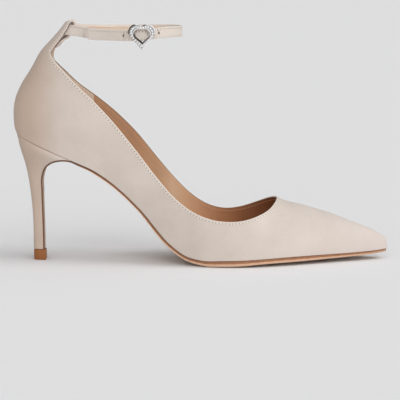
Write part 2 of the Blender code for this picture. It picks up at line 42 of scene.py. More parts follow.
shoeCentre = np.array([1.1, 0.0, 0.0])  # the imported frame's origin, in the shoe's millimetres
upright = np.array([0.0, 0.0, 1.0])
fullTurn = 2 * math.pi
print("frame: nodes", sorted(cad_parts))


# cubic pieces through the values, each with the slope of the parabola through its neighbours
def curveThrough(knots, values):
    knots = np.asarray(knots, float)
    values = np.asarray(values, float).reshape(len(knots), -1)
    step = np.diff(knots)[:, None]
    rise = np.diff(values, axis=0) / step
    inner = (rise[1:] * step[:-1] + rise[:-1] * step[1:]) / (step[:-1] + step[1:])
    slope = np.concatenate([rise[:1], inner, rise[-1:]])

    def at(places):
        places = np.asarray(places, float)
        flat = np.clip(places.ravel(), knots[0], knots[-1])
        low = np.clip(np.searchsorted(knots, flat) - 1, 0, len(step) - 1)
        wide = step[low]
        t = (flat - knots[low])[:, None] / wide
        found = (1 + 2 * t) * (1 - t) ** 2 * values[low] + t * (1 - t) ** 2 * wide * slope[low]
        found = found + t * t * (3 - 2 * t) * values[low + 1] - t * t * (1 - t) * wide * slope[low + 1]
        found = found.reshape(places.shape + (values.shape[1],))
        return found[..., 0] if values.shape[1] == 1 else found

    return at


def unit(vectors):
    return vectors / np.maximum(np.linalg.norm(vectors, axis=-1, keepdims=True), 1e-12)


def smoothStep(t):
    t = np.clip(t, 0, 1)
    return t * t * (3 - 2 * t)


def arcLength(line):
    return np.concatenate([[0.0], np.cumsum(np.linalg.norm(np.diff(line, axis=0), axis=1))])


# quads of a grid whose points are counted along its second direction, either direction closed or open
def gridFaces(first, second, closeFirst=False, closeSecond=False):
    place = np.arange(first * second).reshape(first, second)
    if closeFirst:
        place = np.concatenate([place, place[:1]])
    if closeSecond:
        place = np.concatenate([place, place[:, :1]], axis=1)
    corners = (place[:-1, :-1], place[:-1, 1:], place[1:, 1:], place[1:, :-1])
    return np.stack([corner.ravel() for corner in corners], axis=1)


# points that coincide become one
def weld(points, faces, nearness=0.004):
    key = np.round(points / nearness).astype(np.int64)
    _, first, back = np.unique(key, axis=0, return_index=True, return_inverse=True)
    back = back.reshape(-1)
    return points[first], back[faces], first, back


# mean of the normals of the faces round each point, weighted by their areas
def pointNormals(points, faces):
    corner = points[faces]
    normal = np.cross(corner[:, 2] - corner[:, 0], corner[:, 3] - corner[:, 1])
    total = np.zeros_like(points)
    for k in range(4):
        np.add.at(total, faces[:, k], normal)
    return unit(total)


# free edges of a sheet, with the direction in the sheet's surface that leads away from it
def freeEdges(points, faces, normal):
    edges = np.concatenate([faces[:, [k, (k + 1) % 4]] for k in range(4)])
    edges = edges[edges[:, 0] != edges[:, 1]]
    _, kind, count = np.unique(np.sort(edges, axis=1), axis=0, return_inverse=True, return_counts=True)
    free = edges[count[kind.reshape(-1)] == 1]
    ahead = unit(points[free[:, 1]] - points[free[:, 0]])
    away = np.zeros_like(points)
    for end in (0, 1):
        np.add.at(away, free[:, end], np.cross(ahead, normal[free[:, end]]))
    return free, unit(away)


# An open sheet becomes a closed layer between two depths under it. Each free edge is rounded as a half
# circle, where roundness is 1, after it is pulled back into the sheet. The tone is 1 on the rounded rim.
def closedLayer(points, faces, outerDepth, innerDepth, roundness, pull=0.0, rimSteps=6, edgeTone=0.0):
    normal = pointNormals(points, faces)
    free, away = freeEdges(points, faces, normal)
    base = points - away * (pull * roundness)[:, None]
    middle, radius = 0.5 * (innerDepth + outerDepth), 0.5 * (innerDepth - outerDepth)
    ids = np.unique(free)
    local = np.zeros(len(points), int)
    local[ids] = np.arange(len(ids))
    rows = [base - normal * outerDepth, base - normal * innerDepth]
    bulge = away[ids] * (radius * roundness[ids])[:, None]
    for turn in np.linspace(0, math.pi, rimSteps + 1)[1:-1]:
        depth = middle - radius * math.cos(turn)
        rows.append(base[ids] - normal[ids] * depth + bulge * math.sin(turn))
    count = len(points)
    starts = 2 * count + len(ids) * np.arange(rimSteps - 1)
    ladder = [free] + [start + local[free] for start in starts] + [free + count]
    rims = [np.stack([a[:, 1], a[:, 0], b[:, 0], b[:, 1]], axis=1) for a, b in zip(ladder, ladder[1:])]
    tone = np.zeros(2 * count)
    tone[ids] = tone[ids + count] = edgeTone * roundness[ids]
    tone = np.concatenate([tone, np.tile(roundness[ids], rimSteps - 1)])
    return np.concatenate(rows), np.concatenate([faces, faces[:, ::-1] + count] + rims), tone


# rings of points, each closed on itself, joined by quads and capped at both ends
def loft(rings):
    count, points = rings.shape[:2]
    sides = gridFaces(count, points, closeSecond=True)
    caps = [np.arange(points)[::-1].tolist(), ((count - 1) * points + np.arange(points)).tolist()]
    return rings.reshape(-1, 3), sides.tolist() + caps


# a row of round-ended bodies: an ellipsoid at each centre on three half axes
def ellipsoids(centre, along, across, up, rings=3, sides=8):
    polar = np.linspace(0, math.pi, rings + 2)
    turn = np.linspace(0, fullTurn, sides, endpoint=False)
    ahead, out = np.cos(polar), np.sin(polar)
    shape = np.stack(np.broadcast_arrays(
        ahead[:, None], out[:, None] * np.cos(turn), out[:, None] * np.sin(turn)), axis=-1)
    body = np.concatenate([shape[0, :1], shape[1:-1].reshape(-1, 3), shape[-1, :1]])
    frame3 = np.stack([along, across, up], axis=1)
    points = centre[:, None] + np.einsum("vk,nkx->nvx", body, frame3)
    side = np.arange(sides)
    after = (side + 1) % sides
    final = 1 + (rings - 1) * sides
    last = np.full(sides, 1 + rings * sides)
    fans = np.concatenate([np.stack([np.zeros(sides, int), 1 + side, 1 + after], axis=1),
                           np.stack([last, final + after, final + side], axis=1)])
    quads = gridFaces(rings, sides, closeSecond=True)[:, ::-1] + 1
    shift = (np.arange(len(centre)) * len(body))[:, None, None]
    faces = (quads + shift).reshape(-1, 4).tolist() + (fans + shift).reshape(-1, 3).tolist()
    return points.reshape(-1, 3), faces


# six times the volume inside the faces, which is above zero where they point outwards
def faceVolume(points, faces):
    total = 0.0
    bySize = {}
    for face in faces:
        bySize.setdefault(len(face), []).append(face)
    for size, group in bySize.items():
        corner = points[np.asarray(group)]
        for k in range(1, size - 1):
            total += np.linalg.det(corner[:, [0, k, k + 1]]).sum()
    return total


def newMesh(name, points, faces, material, creaseAngle=40.0):
    faces = faces if isinstance(faces, list) else faces.tolist()
    if faceVolume(points, faces) < 0:
        faces = [face[::-1] for face in faces]
    mesh = bpy.data.meshes.new(name)
    mesh.from_pydata(((points - shoeCentre) * mm).tolist(), [], faces)
    mesh.validate()
    mesh.shade_smooth()
    mesh.set_sharp_from_angle(angle=math.radians(creaseAngle))
    mesh.materials.append(material)
    piece = bpy.data.objects.new(name, mesh)
    bpy.context.scene.collection.objects.link(piece)
    return piece


def addPiece(name, points, faces, material, slotName, node=None, creaseAngle=40.0):
    piece = newMesh(name, points, faces, material, creaseAngle)
    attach(piece, "root")
    if node:
        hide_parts(node)
    print("piece:", name, len(piece.data.polygons), "faces")
    return piece


def paintValues(piece, name, values, domain="POINT"):
    layer = piece.data.attributes.new(name, "FLOAT", domain)
    layer.data.foreach_set("value", np.asarray(values, np.float32))


# A shader socket. Arithmetic on it adds Math nodes, and node() adds any other node.
class Shade:
    def __init__(self, tree, socket=None):
        self.tree = tree
        self.socket = socket

    def node(self, kind, settings, values, output=0):
        made = self.tree.nodes.new(kind)
        for key, value in settings.items():
            if key == "stops":
                self.setStops(made.color_ramp, value)
            else:
                setattr(made, key, value)
        for key, value in values.items():
            if isinstance(value, Shade):
                self.tree.links.new(value.socket, made.inputs[key])
            else:
                made.inputs[key].default_value = value
        return Shade(self.tree, made.outputs[output])

    def setStops(self, ramp, stops):
        while len(ramp.elements) < len(stops):
            ramp.elements.new(0.5)
        for element, (place, colour) in zip(ramp.elements, stops):
            element.position = place
            element.color = colour

    def math(self, operation, first, second):
        return self.node("ShaderNodeMath", {"operation": operation}, {0: first, 1: second})

    def __add__(self, other):
        return self.math("ADD", self, other)

    def __sub__(self, other):
        return self.math("SUBTRACT", self, other)

    def __rsub__(self, other):
        return self.math("SUBTRACT", other, self)

    def __mul__(self, other):
        return self.math("MULTIPLY", self, other)

    __radd__ = __add__
    __rmul__ = __mul__

    # 0 below low, 1 above high
    def between(self, low, high):
        values = {"Value": self, "From Min": low, "From Max": high}
        return self.node("ShaderNodeMapRange", {"clamp": True}, values)

    def noise(self, size, detail=3.0, roughness=0.55):
        values = {"Vector": self, "Scale": 1 / (size * mm), "Detail": detail, "Roughness": roughness}
        return self.node("ShaderNodeTexNoise", {}, values, "Fac")

    def along(self, axis):
        return self.node("ShaderNodeSeparateXYZ", {}, {0: self}, axis)

    def attribute(self, name):
        return self.node("ShaderNodeAttribute", {"attribute_name": name}, {}, "Fac")

    def mixColour(self, dark, light):
        return self.node("ShaderNodeMix", {"data_type": "RGBA"}, {0: self, 6: dark, 7: light}, 2)

    # the surface's normal, bumped by this height
    def bump(self, strength, depth):
        return self.node("ShaderNodeBump", {}, {"Strength": strength, "Distance": depth, "Height": self})

    # a colour by stops from 0 to 1
    def ramp(self, stops):
        return self.node("ShaderNodeValToRGB", {"stops": stops}, {0: self})


def linear(red, green, blue):
    srgb = np.array([red, green, blue]) / 255.0
    low = srgb / 12.92
    high = ((srgb + 0.055) / 1.055) ** 2.4
    return (*np.where(srgb <= 0.04045, low, high).tolist(), 1.0)


# a material with a Principled shader: uniform values go to its sockets, and varying ones are linked
def newMaterial(name, uniform, paint):
    material = bpy.data.materials.new(name)
    material.use_nodes = True
    tree = material.node_tree
    shader = tree.nodes["Principled BSDF"]
    for key, value in uniform.items():
        shader.inputs[key].default_value = value
    maker = Shade(tree)
    place = maker.node("ShaderNodeTexCoord", {}, {}, "Object")
    for key, value in paint(place).items():
        tree.links.new(value.socket, shader.inputs[key])
    return material


# the rear tones are painted shade, the toe tone is painted light, and the rim tone is wear with a painted
# highlight
suedeLook = {
    "dark": linear(196, 183, 173), "light": linear(216, 205, 196), "rim": linear(238, 228, 217),
    "rearShadeDark": linear(188, 166, 149), "rearShadeLight": linear(201, 181, 165), "rear": (-0.086, -0.112),
    "toe": linear(222, 214, 213), "toeX": (0.05, 0.33), "rimShare": 0.75, "rimMottle": 0.5,
    "cloudSize": 22.0, "napSize": 1.1, "fibreSize": 0.28, "clouds": (0.3, 0.72), "tones": (0.25, 1.2),
    "toneParts": (0.5, 0.6, 0.4), "reliefParts": (0.6, 0.7), "bump": (0.55, 0.00018), "roughness": (0.84, 0.97),
    "sheen": {"Sheen Weight": 0.12, "Sheen Roughness": 0.5, "Specular IOR Level": 0.15},
}


# Suede: clouds where the nap lies either way, finer streaks of nap, a bump of single fibres, painted shade as
# a darker, browner tone round the back, painted light as a paler, cooler one at the toe, and a rim painted
# paler, as wear and as a painted highlight.
def suedePaint(place):
    clouds = place.noise(suedeLook["cloudSize"], 4.0, 0.5).between(*suedeLook["clouds"])
    nap = place.noise(suedeLook["napSize"], 4.0, 0.7)
    fibre = place.noise(suedeLook["fibreSize"], 2.0, 0.7)
    ofClouds, ofNap, ofFibre = suedeLook["toneParts"]
    tone = (clouds * ofClouds + nap * ofNap + fibre * ofFibre).between(*suedeLook["tones"])
    x = place.along("X")
    # painted shade: a darker, browner tone round the back
    body = x.between(*suedeLook["rear"]).mixColour(
        tone.mixColour(suedeLook["dark"], suedeLook["light"]),
        tone.mixColour(suedeLook["rearShadeDark"], suedeLook["rearShadeLight"]))
    # painted light: a paler, cooler tone towards the toe
    body = x.between(*suedeLook["toeX"]).mixColour(body, suedeLook["toe"])
    # the rim is painted paler as wear and as a painted highlight; on the strap the same attribute carries
    # painted light
    wornAndLit = place.attribute("rimTone") * (suedeLook["rimShare"] + suedeLook["rimMottle"] * (nap - 0.5))
    colour = wornAndLit.between(0.0, 1.0).mixColour(body, suedeLook["rim"])
    ofNap, ofFibre = suedeLook["reliefParts"]
    bump = (nap * ofNap + fibre * ofFibre).bump(*suedeLook["bump"])
    low, high = suedeLook["roughness"]
    return {"Base Color": colour, "Roughness": low + (high - low) * nap, "Normal": bump}


# Lining leather: smooth, with fine grain cells, soft clouds of colour, a satin finish and a darker cut edge. A
# course of colours along x, with painted light and shade, is multiplied in where there is one.
def leatherPaint(dark, light, cutEdgeColour, cellSize, rough, lightAndShadeCourse=None):
    def paint(place):
        clouds = place.noise(22.0, 3.0, 0.55).between(0.3, 0.72)
        fine = place.noise(1.6, 3.0, 0.6)
        cells = place.node("ShaderNodeTexVoronoi", {"feature": "DISTANCE_TO_EDGE"},
                           {"Vector": place, "Scale": 1 / (cellSize * mm)}, "Distance").between(0.0, 0.22)
        body = (clouds * 0.6 + fine * 0.3 + cells * 0.22).between(0.15, 1.0).mixColour(dark, light)
        if lightAndShadeCourse:
            low, high = lightAndShadeCourse[0][0], lightAndShadeCourse[-1][0]
            stops = [((x - low) / (high - low), linear(*some)) for x, some in lightAndShadeCourse]
            ramp = place.along("X").between(low * mm, high * mm).ramp(stops)
            settings = {"data_type": "RGBA", "blend_type": "MULTIPLY"}
            body = place.node("ShaderNodeMix", settings, {0: 1.0, 6: body, 7: ramp}, 2)
        colour = place.attribute("rimTone").between(0.1, 0.9).mixColour(body, cutEdgeColour)
        roughness = rough[0] + (rough[1] - rough[0]) * (1 - cells * 0.6)
        bump = (cells * 0.8 + fine * 0.5).bump(0.4, 0.00012)
        return {"Base Color": colour, "Roughness": roughness, "Normal": bump}
    return paint


# Thread: twisted strands show as fine slanted bands.
def threadPaint(dark, light):
    def paint(place):
        strands = place.noise(0.35, 2.0, 0.6).between(0.3, 0.7)
        return {"Base Color": strands.mixColour(dark, light), "Normal": strands.bump(0.5, 0.0001)}
    return paint


# dark and light colour of each part of the sole, with the paler bevel at the waist and down the heel as painted
# light
soleLook = {
    "tread": ((176, 146, 120), (196, 166, 140)), "paintedLitBevel": ((238, 212, 190), (250, 228, 210)),
    "bevel": ((206, 164, 133), (222, 184, 156)), "stain": ((148, 100, 68), (172, 122, 88)),
    "darkStain": ((98, 62, 40), (124, 82, 56)),
}


# Sole leather: the tone attribute is 0 on the tread, 0.4 on the bevel where it is painted paler as painted
# light, at the waist and down the heel, 0.5 on the rest of the bevel, 1 on the stained edge and 2 where that is
# stained darker.
def solePaint(place):
    tone = place.attribute("edgeTone")
    grain = place.noise(2.2, 4.0, 0.65)
    clouds = place.noise(26.0, 3.0, 0.5)
    spots = grain.between(0.25, 0.75)

    def mottled(name, by):
        dark, light = soleLook[name]
        return by.mixColour(linear(*dark), linear(*light))

    tread = mottled("tread", (clouds * 0.6 + grain * 0.5).between(0.2, 0.95))
    # painted light: the bevel is paler at the waist and down the heel
    cut = tone.between(0.4, 0.5).mixColour(mottled("paintedLitBevel", spots), mottled("bevel", spots))
    stain = tone.between(1.0, 2.0).mixColour(mottled("stain", spots), mottled("darkStain", spots))
    colour = tone.between(0.7, 0.8).mixColour(tone.between(0.2, 0.3).mixColour(tread, cut), stain)
    return {"Base Color": colour, "Roughness": 0.4 + 0.25 * grain, "Normal": grain.bump(0.35, 0.0002)}


# Wearing tip: dense brown compound with a fine moulded grain and slightly paler scuffs.
def tipPaint(place):
    grain = place.noise(0.7, 3.0, 0.6)
    scuff = place.noise(3.4, 3.0, 0.6).between(0.5, 0.8)
    colour = (grain * 0.5 + scuff * 0.5).mixColour(linear(138, 82, 40), linear(168, 110, 60))
    return {"Base Color": colour, "Roughness": 0.45 + 0.25 * grain, "Normal": grain.bump(0.4, 0.0001)}


suede = newMaterial("suede", suedeLook["sheen"], suedePaint)
darkCutEdge, paleEdge = linear(92, 66, 46), linear(172, 138, 110)
# the quarter lining's colour along x, painted light where it is palest and painted shade where it darkens into
# the toe
liningLightAndShade = ((-100, (228, 212, 198)), (-84, (226, 208, 192)), (-74, (204, 160, 126)), (-46, (198, 153, 118)),
                (-31, (206, 164, 128)), (-19, (226, 192, 159)), (-9, (218, 175, 139)), (1, (206, 158, 121)),
                (12, (183, 132, 94)), (28, (167, 114, 78)), (38, (156, 106, 74)), (60, (146, 98, 67)))
liningTan = newMaterial("liningTan", {"Specular IOR Level": 0.35}, leatherPaint(
    linear(232, 230, 228), linear(255, 255, 255), darkCutEdge, 0.9, (0.42, 0.62), liningLightAndShade))
liningPeach = newMaterial("liningPeach", {"Specular IOR Level": 0.25}, leatherPaint(
    linear(208, 185, 164), linear(226, 206, 187), paleEdge, 0.8, (0.5, 0.7)))
liningPale = newMaterial("liningPale", {"Specular IOR Level": 0.25}, leatherPaint(
    linear(224, 204, 185), linear(236, 218, 201), paleEdge, 0.8, (0.5, 0.7)))
sockTan = newMaterial("sockTan", {"Specular IOR Level": 0.35}, leatherPaint(
    linear(178, 130, 96), linear(200, 154, 118), darkCutEdge, 1.0, (0.42, 0.6)))
paleThread, tanThread, paintedHoleShade = (
    newMaterial(name, {"Roughness": rough}, threadPaint(linear(*dark), linear(*light)))
    for name, rough, dark, light in (("paleThread", 0.75, (222, 211, 198), (243, 235, 224)),
                                     ("tanThread", 0.75, (196, 150, 118), (216, 176, 146)),
                                     ("paintedHoleShade", 0.9, (72, 60, 51), (96, 83, 72))))
soleLeather = newMaterial("soleLeather", {"Specular IOR Level": 0.4}, solePaint)
tipBrown = newMaterial("tipBrown", {"Specular IOR Level": 0.4}, tipPaint)
print("materials ready")


# Sections of the last from the toe back to the heel axis, and the edges of the upper on it.
last = {
    "toeX": 125.1, "throatX": 51.2, "heelX": -80.0, "fullness": 0.92, "tuckPower": 4,
    "toeSwing": 3.0, "swingPower": 1.5, "seatSlope": -0.421, "seatBackZ": 84.1,
    "columns": ("x", "featherZ", "outerFeather", "outerBulge", "innerFeather", "innerBulge", "ridgeZ"),
    "sections": (
        (125.1, 7.3, 0.0, 0.0, 0.0, 0.0, 11.0),
        (121.4, 6.9, 4.6, 4.7, 4.6, 4.7, 16.1),
        (112.0, 6.4, 8.8, 9.0, 9.0, 9.2, 20.9),
        (101.0, 6.2, 13.2, 13.6, 13.8, 14.1, 25.2),
        (86.0, 6.2, 19.2, 19.8, 21.0, 21.4, 31.0),
        (69.0, 6.2, 25.8, 26.6, 28.6, 29.1, 36.1),
        (51.2, 6.0, 32.3, 33.4, 34.4, 35.2, 41.7),
        (40.0, 5.6, 35.6, 36.9, 36.3, 37.4, 50.5),
        (28.0, 5.1, 37.0, 38.4, 35.8, 37.4, 61.0),
        (15.0, 4.8, 36.5, 38.2, 33.3, 35.6, 73.0),
        (0.0, 4.7, 33.0, 35.6, 27.5, 31.4, 88.0),
        (-10.0, 7.2, 29.0, 32.5, 23.4, 28.5, 97.1),
        (-20.0, 14.2, 25.0, 29.4, 19.8, 26.0, 106.0),
        (-40.0, 37.2, 20.5, 26.2, 15.8, 23.8, 124.5),
        (-60.0, 55.5, 20.3, 25.4, 17.0, 23.8, 143.0),
        (-70.0, 62.2, 20.9, 25.4, 19.2, 24.6, 152.0),
        (-80.0, 66.8, 21.5, 25.5, 21.5, 25.5, 161.0),
    ),
    "topline": (
        (51.2, 41.7, 41.7), (46.5, 37.6, 39.2), (38.0, 33.5, 35.0), (28.0, 30.8, 31.4), (17.0, 30.3, 30.2),
        (5.0, 32.2, 33.4), (-6.4, 37.1, 41.1), (-18.0, 46.2, 53.2), (-30.0, 60.2, 68.0), (-41.6, 75.4, 82.6),
        (-54.8, 91.9, 96.1), (-68.5, 106.9, 107.3), (-80.0, 117.9, 115.5),
    ),
    "outerBack": ((0.0, 117.9), (8.6, 123.0), (16.0, 126.8), (24.0, 130.2), (31.0, 133.1), (45.0, 138.3)),
    "innerBack": ((0.0, 115.5), (5.6, 118.6), (17.3, 124.7), (30.3, 130.0), (40.0, 134.0), (45.0, 138.3)),
    "back": (
        (7.3, -110.8), (26.9, -111.0), (41.0, -112.0), (53.8, -113.6), (64.5, -115.8), (74.5, -118.8),
        (84.1, -121.1), (87.5, -122.3), (93.1, -123.0), (98.4, -123.1), (103.7, -122.6), (109.0, -121.3),
        (116.5, -118.0), (127.0, -111.4), (139.9, -103.8), (148.2, -96.1), (153.1, -91.9), (158.0, -88.2),
    ),
}
tab = {
    "footZ": 138.3, "foldZ": 157.4, "footAngle": 45.0, "topAngle": 39.0, "riseAngle": 5.0,
    "narrowingZ": 140.0, "narrowing": -0.33, "wall": 1.6, "tunnel": 2.6,
    "innerLayer": ((150.2, 5.8), (147.2, 3.8), (143.0, 3.5)),
}


# distance from the toe tip as a square root, in which a rounded nose is a straight line
def fromToe(x):
    return np.sqrt(np.maximum(last["toeX"] - np.asarray(x, float), 0.0))


sections = np.array(last["sections"])
toplineTable = np.array(last["topline"])
backTable = np.array(last["back"])
lastCurves = {name: curveThrough(fromToe(sections[:, 0]), sections[:, k])
              for k, name in enumerate(last["columns"])}
toplines = {"outer": curveThrough(-toplineTable[:, 0], toplineTable[:, 1]),
            "inner": curveThrough(-toplineTable[:, 0], toplineTable[:, 2])}
backX = curveThrough(backTable[:, 0], backTable[:, 1])
backEdges = [curveThrough(*np.array(last[name]).T) for name in ("outerBack", "innerBack")]
heelX, throatX = last["heelX"], last["throatX"]


def lastValue(name, x):
    return lastCurves[name](fromToe(x))


# the last's bottom edge, going on as the straight heel seat behind the heel axis
def featherZ(x):
    x = np.asarray(x, float)
    seat = sections[-1, 1] + last["seatSlope"] * (x - heelX)
    return np.where(x < heelX, seat, lastValue("featherZ", np.maximum(x, heelX)))


def centreY(x):
    return last["toeSwing"] * (np.maximum(x, 0.0) / last["toeX"]) ** last["swingPower"]


# One side of the upper at x and a share of its height: y is bulge times cos(turn) less a tuck near the
# feather line, and z is the feather height plus the section's height times sin(turn).
def sideSurface(x, share, side):
    name = "outer" if side < 0 else "inner"
    base = lastValue("featherZ", x)
    height = lastValue("ridgeZ", x) - base
    bulge, feather = lastValue(name + "Bulge", x), lastValue(name + "Feather", x)
    rise = np.where(x >= throatX, 1.0, np.clip((toplines[name](-x) - base) / height, 0, 1))
    turn = share * np.arcsin(rise)
    tuck = (bulge - feather) * (1 - np.sin(turn)) ** last["tuckPower"]
    half = bulge * np.cos(turn).clip(0) ** last["fullness"] - tuck
    return np.stack(np.broadcast_arrays(x, centreY(x) + side * half, base + height * np.sin(turn)), axis=-1)


# Round the back the sections are half ellipses about the heel axis, from the outer to the inner side.
def heelSurface(angle, z):
    turn = np.radians(angle)
    base, feather, bulge = sections[-1, 1:4]
    height = sections[-1, 6] - base
    depth = heelX - backX(np.maximum(z, last["seatBackZ"]))
    reach = heelX - depth * np.sin(turn)
    above = np.clip((z - featherZ(reach)) / height, 0, 1)
    lean = np.minimum(z, tab["narrowingZ"])
    cosine = np.sqrt(1 - ((lean - base) / height) ** 2)
    tuck = (bulge - feather) * (1 - above) ** last["tuckPower"]
    half = bulge * cosine ** last["fullness"] - tuck + tab["narrowing"] * np.maximum(z - tab["narrowingZ"], 0)
    return np.stack(np.broadcast_arrays(reach, -half * np.cos(turn), z), axis=-1)


# a point of the heel surface with its inward normal and the direction up the surface
def heelFrame(angle, z, stepAngle=0.5, stepZ=0.2):
    up = unit(heelSurface(angle, z + stepZ) - heelSurface(angle, z - stepZ))
    around = unit(heelSurface(angle + stepAngle, z) - heelSurface(angle - stepAngle, z))
    return heelSurface(angle, z), unit(np.cross(around, up)), up


# Columns of the upper from the toe along the outer side, round the heel and back along the inner side.
# Near the throat the columns lean, so that the round throat has even steps along its edge.
def upperColumns(rows, vampCount, sideCount, cornerCount, tabCount, backOnlyX=None, tabTop=0.0, topBand=None):
    share = np.append(np.linspace(0, 1 - (topBand or 1 / rows), rows), 1.0)
    vamp = last["toeX"] - np.linspace(0, fromToe(throatX), vampCount) ** 2
    even = np.linspace(throatX, heelX, sideCount + 1)[1:]
    crowded = throatX - np.linspace(0, math.sqrt(throatX - heelX), sideCount + 1)[1:] ** 2
    quarter = even[:, None] + (crowded - even)[:, None] * share**2
    vamp[-1] = throatX
    stations = np.concatenate([np.repeat(vamp[:, None], rows + 1, 1), quarter])
    if backOnlyX is not None:
        stations = np.repeat(np.linspace(backOnlyX, heelX, sideCount)[:, None], rows + 1, 1)
    outer, inner = sideSurface(stations, share, -1), sideSurface(stations[::-1], share, 1)
    corner = np.linspace(0, tab["footAngle"], cornerCount + 1)[1:]
    tabAngles = np.linspace(tab["footAngle"], 180 - tab["footAngle"], tabCount + 1)
    angles = np.concatenate([corner[:-1], tabAngles, 180 - corner[-2::-1]])
    base, ridge = sections[-1, 1], sections[-1, 6]
    heelTurn = math.asin((toplineTable[-1, 1] - base) / (ridge - base))
    shares = np.sin(share * heelTurn) / math.sin(heelTurn)
    nearer = np.minimum(angles, 180 - angles)
    low = featherZ(heelX - (heelX - backX(last["seatBackZ"])) * np.sin(np.radians(angles)))
    outerTop, innerTop = (edge(np.minimum(nearer, tab["footAngle"])) for edge in backEdges)
    top = np.where(angles < 90, outerTop, innerTop)
    top = top + tabTop * smoothStep((nearer - tab["footAngle"]) / tab["riseAngle"])
    heel = heelSurface(angles[:, None], low[:, None] + (top - low)[:, None] * shares)
    return np.concatenate([outer, heel, inner]), tabAngles


# Rows of the tab: up the outside, over the fold and down the inner layer that closes the tunnel.
def tabColumns(tabAngles, riseCount=24, foldCount=16, downCount=8, hemCount=10):
    spread = (90 - tab["topAngle"]) / (90 - tab["footAngle"])
    radius = (2 * tab["wall"] + tab["tunnel"]) / 2
    rise = np.linspace(tab["footZ"], tab["foldZ"], riseCount + 1)
    fold = np.linspace(0, math.pi, foldCount + 1)[1:]
    down = np.linspace(tab["foldZ"], tab["innerLayer"][0][0], downCount)[1:-1]
    hemZ, hemDepth = np.array(tab["innerLayer"]).T
    hem = np.linspace(hemZ[0], hemZ[-1], hemCount)
    hemCurve = curveThrough(-hemZ, hemDepth)
    z = np.concatenate([rise, np.full(foldCount, tab["foldZ"]), down, hem])
    depth = np.concatenate(
        [0 * rise, radius * (1 - np.cos(fold)), np.full(len(down), 2 * radius), hemCurve(-hem)])
    beyond = np.concatenate([0 * rise, radius * np.sin(fold), 0 * down, 0 * hem])
    widen = 1 + (spread - 1) * smoothStep((z - tab["footZ"]) / (tab["foldZ"] - tab["footZ"]))
    angle = 90 + (tabAngles[:, None] - 90) * widen
    point, inward, up = heelFrame(angle, np.broadcast_to(z, angle.shape))
    return point + depth[:, None] * inward + beyond[:, None] * up


upperCut = {"rows": 44, "vamp": 60, "side": 110, "corner": 16, "tab": 36, "suede": 0.9, "rimSteps": 8,
            "lining": 0.65, "tabRim": 0.75, "tabRimBelow": 6.0, "crease": 60.0}


# The suede and the linings are layers of one sheet: its columns, and the tab where it has one.
def upperSheet(withTab, **counts):
    grid, tabAngles = upperColumns(**counts)
    parts, faces = [grid.reshape(-1, 3)], [gridFaces(*grid.shape[:2])]
    low = np.zeros(grid.shape[:2], bool)
    low[:, 0] = True
    lows = [low.ravel()]
    if withTab:
        columns = tabColumns(tabAngles)
        faces.append(gridFaces(*columns.shape[:2]) + len(parts[0]))
        parts.append(columns.reshape(-1, 3))
        lows.append(np.zeros(columns.shape[0] * columns.shape[1], bool))
    points, quads, first, back = weld(np.concatenate(parts), np.concatenate(faces))
    return points, quads, np.where(np.concatenate(lows)[first], 0.0, 1.0), back


counts = {"rows": upperCut["rows"], "vampCount": upperCut["vamp"], "sideCount": upperCut["side"],
          "cornerCount": upperCut["corner"], "tabCount": upperCut["tab"]}
points, quads, roundness, back = upperSheet(True, **counts)
rim = 0.5 * upperCut["suede"]
shape, faces, tone = closedLayer(points, quads, 0.0, upperCut["suede"], roundness, rim, upperCut["rimSteps"])
piece = addPiece("upperSuede", shape, faces, suede, "suede", "upper", upperCut["crease"])
# the suede's rim is painted paler as wear and as a painted highlight, less so on the tab
onTab = smoothStep((shape[:, 2] - tab["footZ"]) / upperCut["tabRimBelow"] + 1)
paintValues(piece, "rimTone", tone * (1 - upperCut["tabRim"] * onTab))


# The upper's edge from the throat along each side, up the tab's edge, over its fold and down to its hem:
# its points, the surface's normal and the direction in the surface away from the upper.
def topEdges():
    normal = pointNormals(points, quads)
    _, away = freeEdges(points, quads, normal)
    column = np.arange(upperCut["vamp"] - 1, upperCut["vamp"] + upperCut["side"] + upperCut["corner"])
    high = upperCut["rows"] + 1
    columnCount = 2 * (upperCut["vamp"] + upperCut["side"] + upperCut["corner"]) + upperCut["tab"] - 1
    tabHigh = (len(back) - columnCount * high) // (upperCut["tab"] + 1)
    rise = columnCount * high + np.arange(1, tabHigh)
    outer = np.concatenate([column * high + high - 1, rise])
    inner = np.concatenate([(columnCount - 1 - column) * high + high - 1, rise + upperCut["tab"] * tabHigh])
    return [(points[back[ids]], normal[back[ids]], away[back[ids]]) for ids in (outer, inner)]


edges = topEdges()

# the lining reaches nearly to the turned edge, where its cut edge is darker, and is tucked under the tab's
# inner layer
liningCut = {"gap": 0.04, "edgePull": 0.42, "rows": 25, "vamp": 40, "tabTop": 6.5, "topBand": 0.014,
             "underTab": 6}
liningCounts = dict(counts, rows=liningCut["rows"], vampCount=liningCut["vamp"], tabTop=liningCut["tabTop"],
                    topBand=liningCut["topBand"])
points, quads, roundness, _ = upperSheet(False, **liningCounts)
liningTop = upperCut["suede"] + liningCut["gap"]
liningDeep = liningTop + upperCut["lining"]
shape, faces, tone = closedLayer(points, quads, liningTop, liningDeep, roundness, liningCut["edgePull"],
                                 edgeTone=1.0)
piece = addPiece("quarterLining", shape, faces, liningTan, "lining", None, upperCut["crease"])
paintValues(piece, "rimTone", tone)

# the heel grip is a second, paler lining round the back, with its own cut front edge
gripCut = {"frontX": -70.0, "side": 12, "thickness": 0.5, "edgePull": 1.6}
gripCounts = dict(liningCounts, sideCount=gripCut["side"], backOnlyX=gripCut["frontX"])
points, quads, roundness, _ = upperSheet(False, **gripCounts)
gripTop = liningDeep + liningCut["gap"]
gripDeep = gripTop + gripCut["thickness"]
shape, faces, _ = closedLayer(points, quads, gripTop, gripDeep, roundness, gripCut["edgePull"])
addPiece("heelGrip", shape, faces, liningPale, "lining", None, upperCut["crease"])

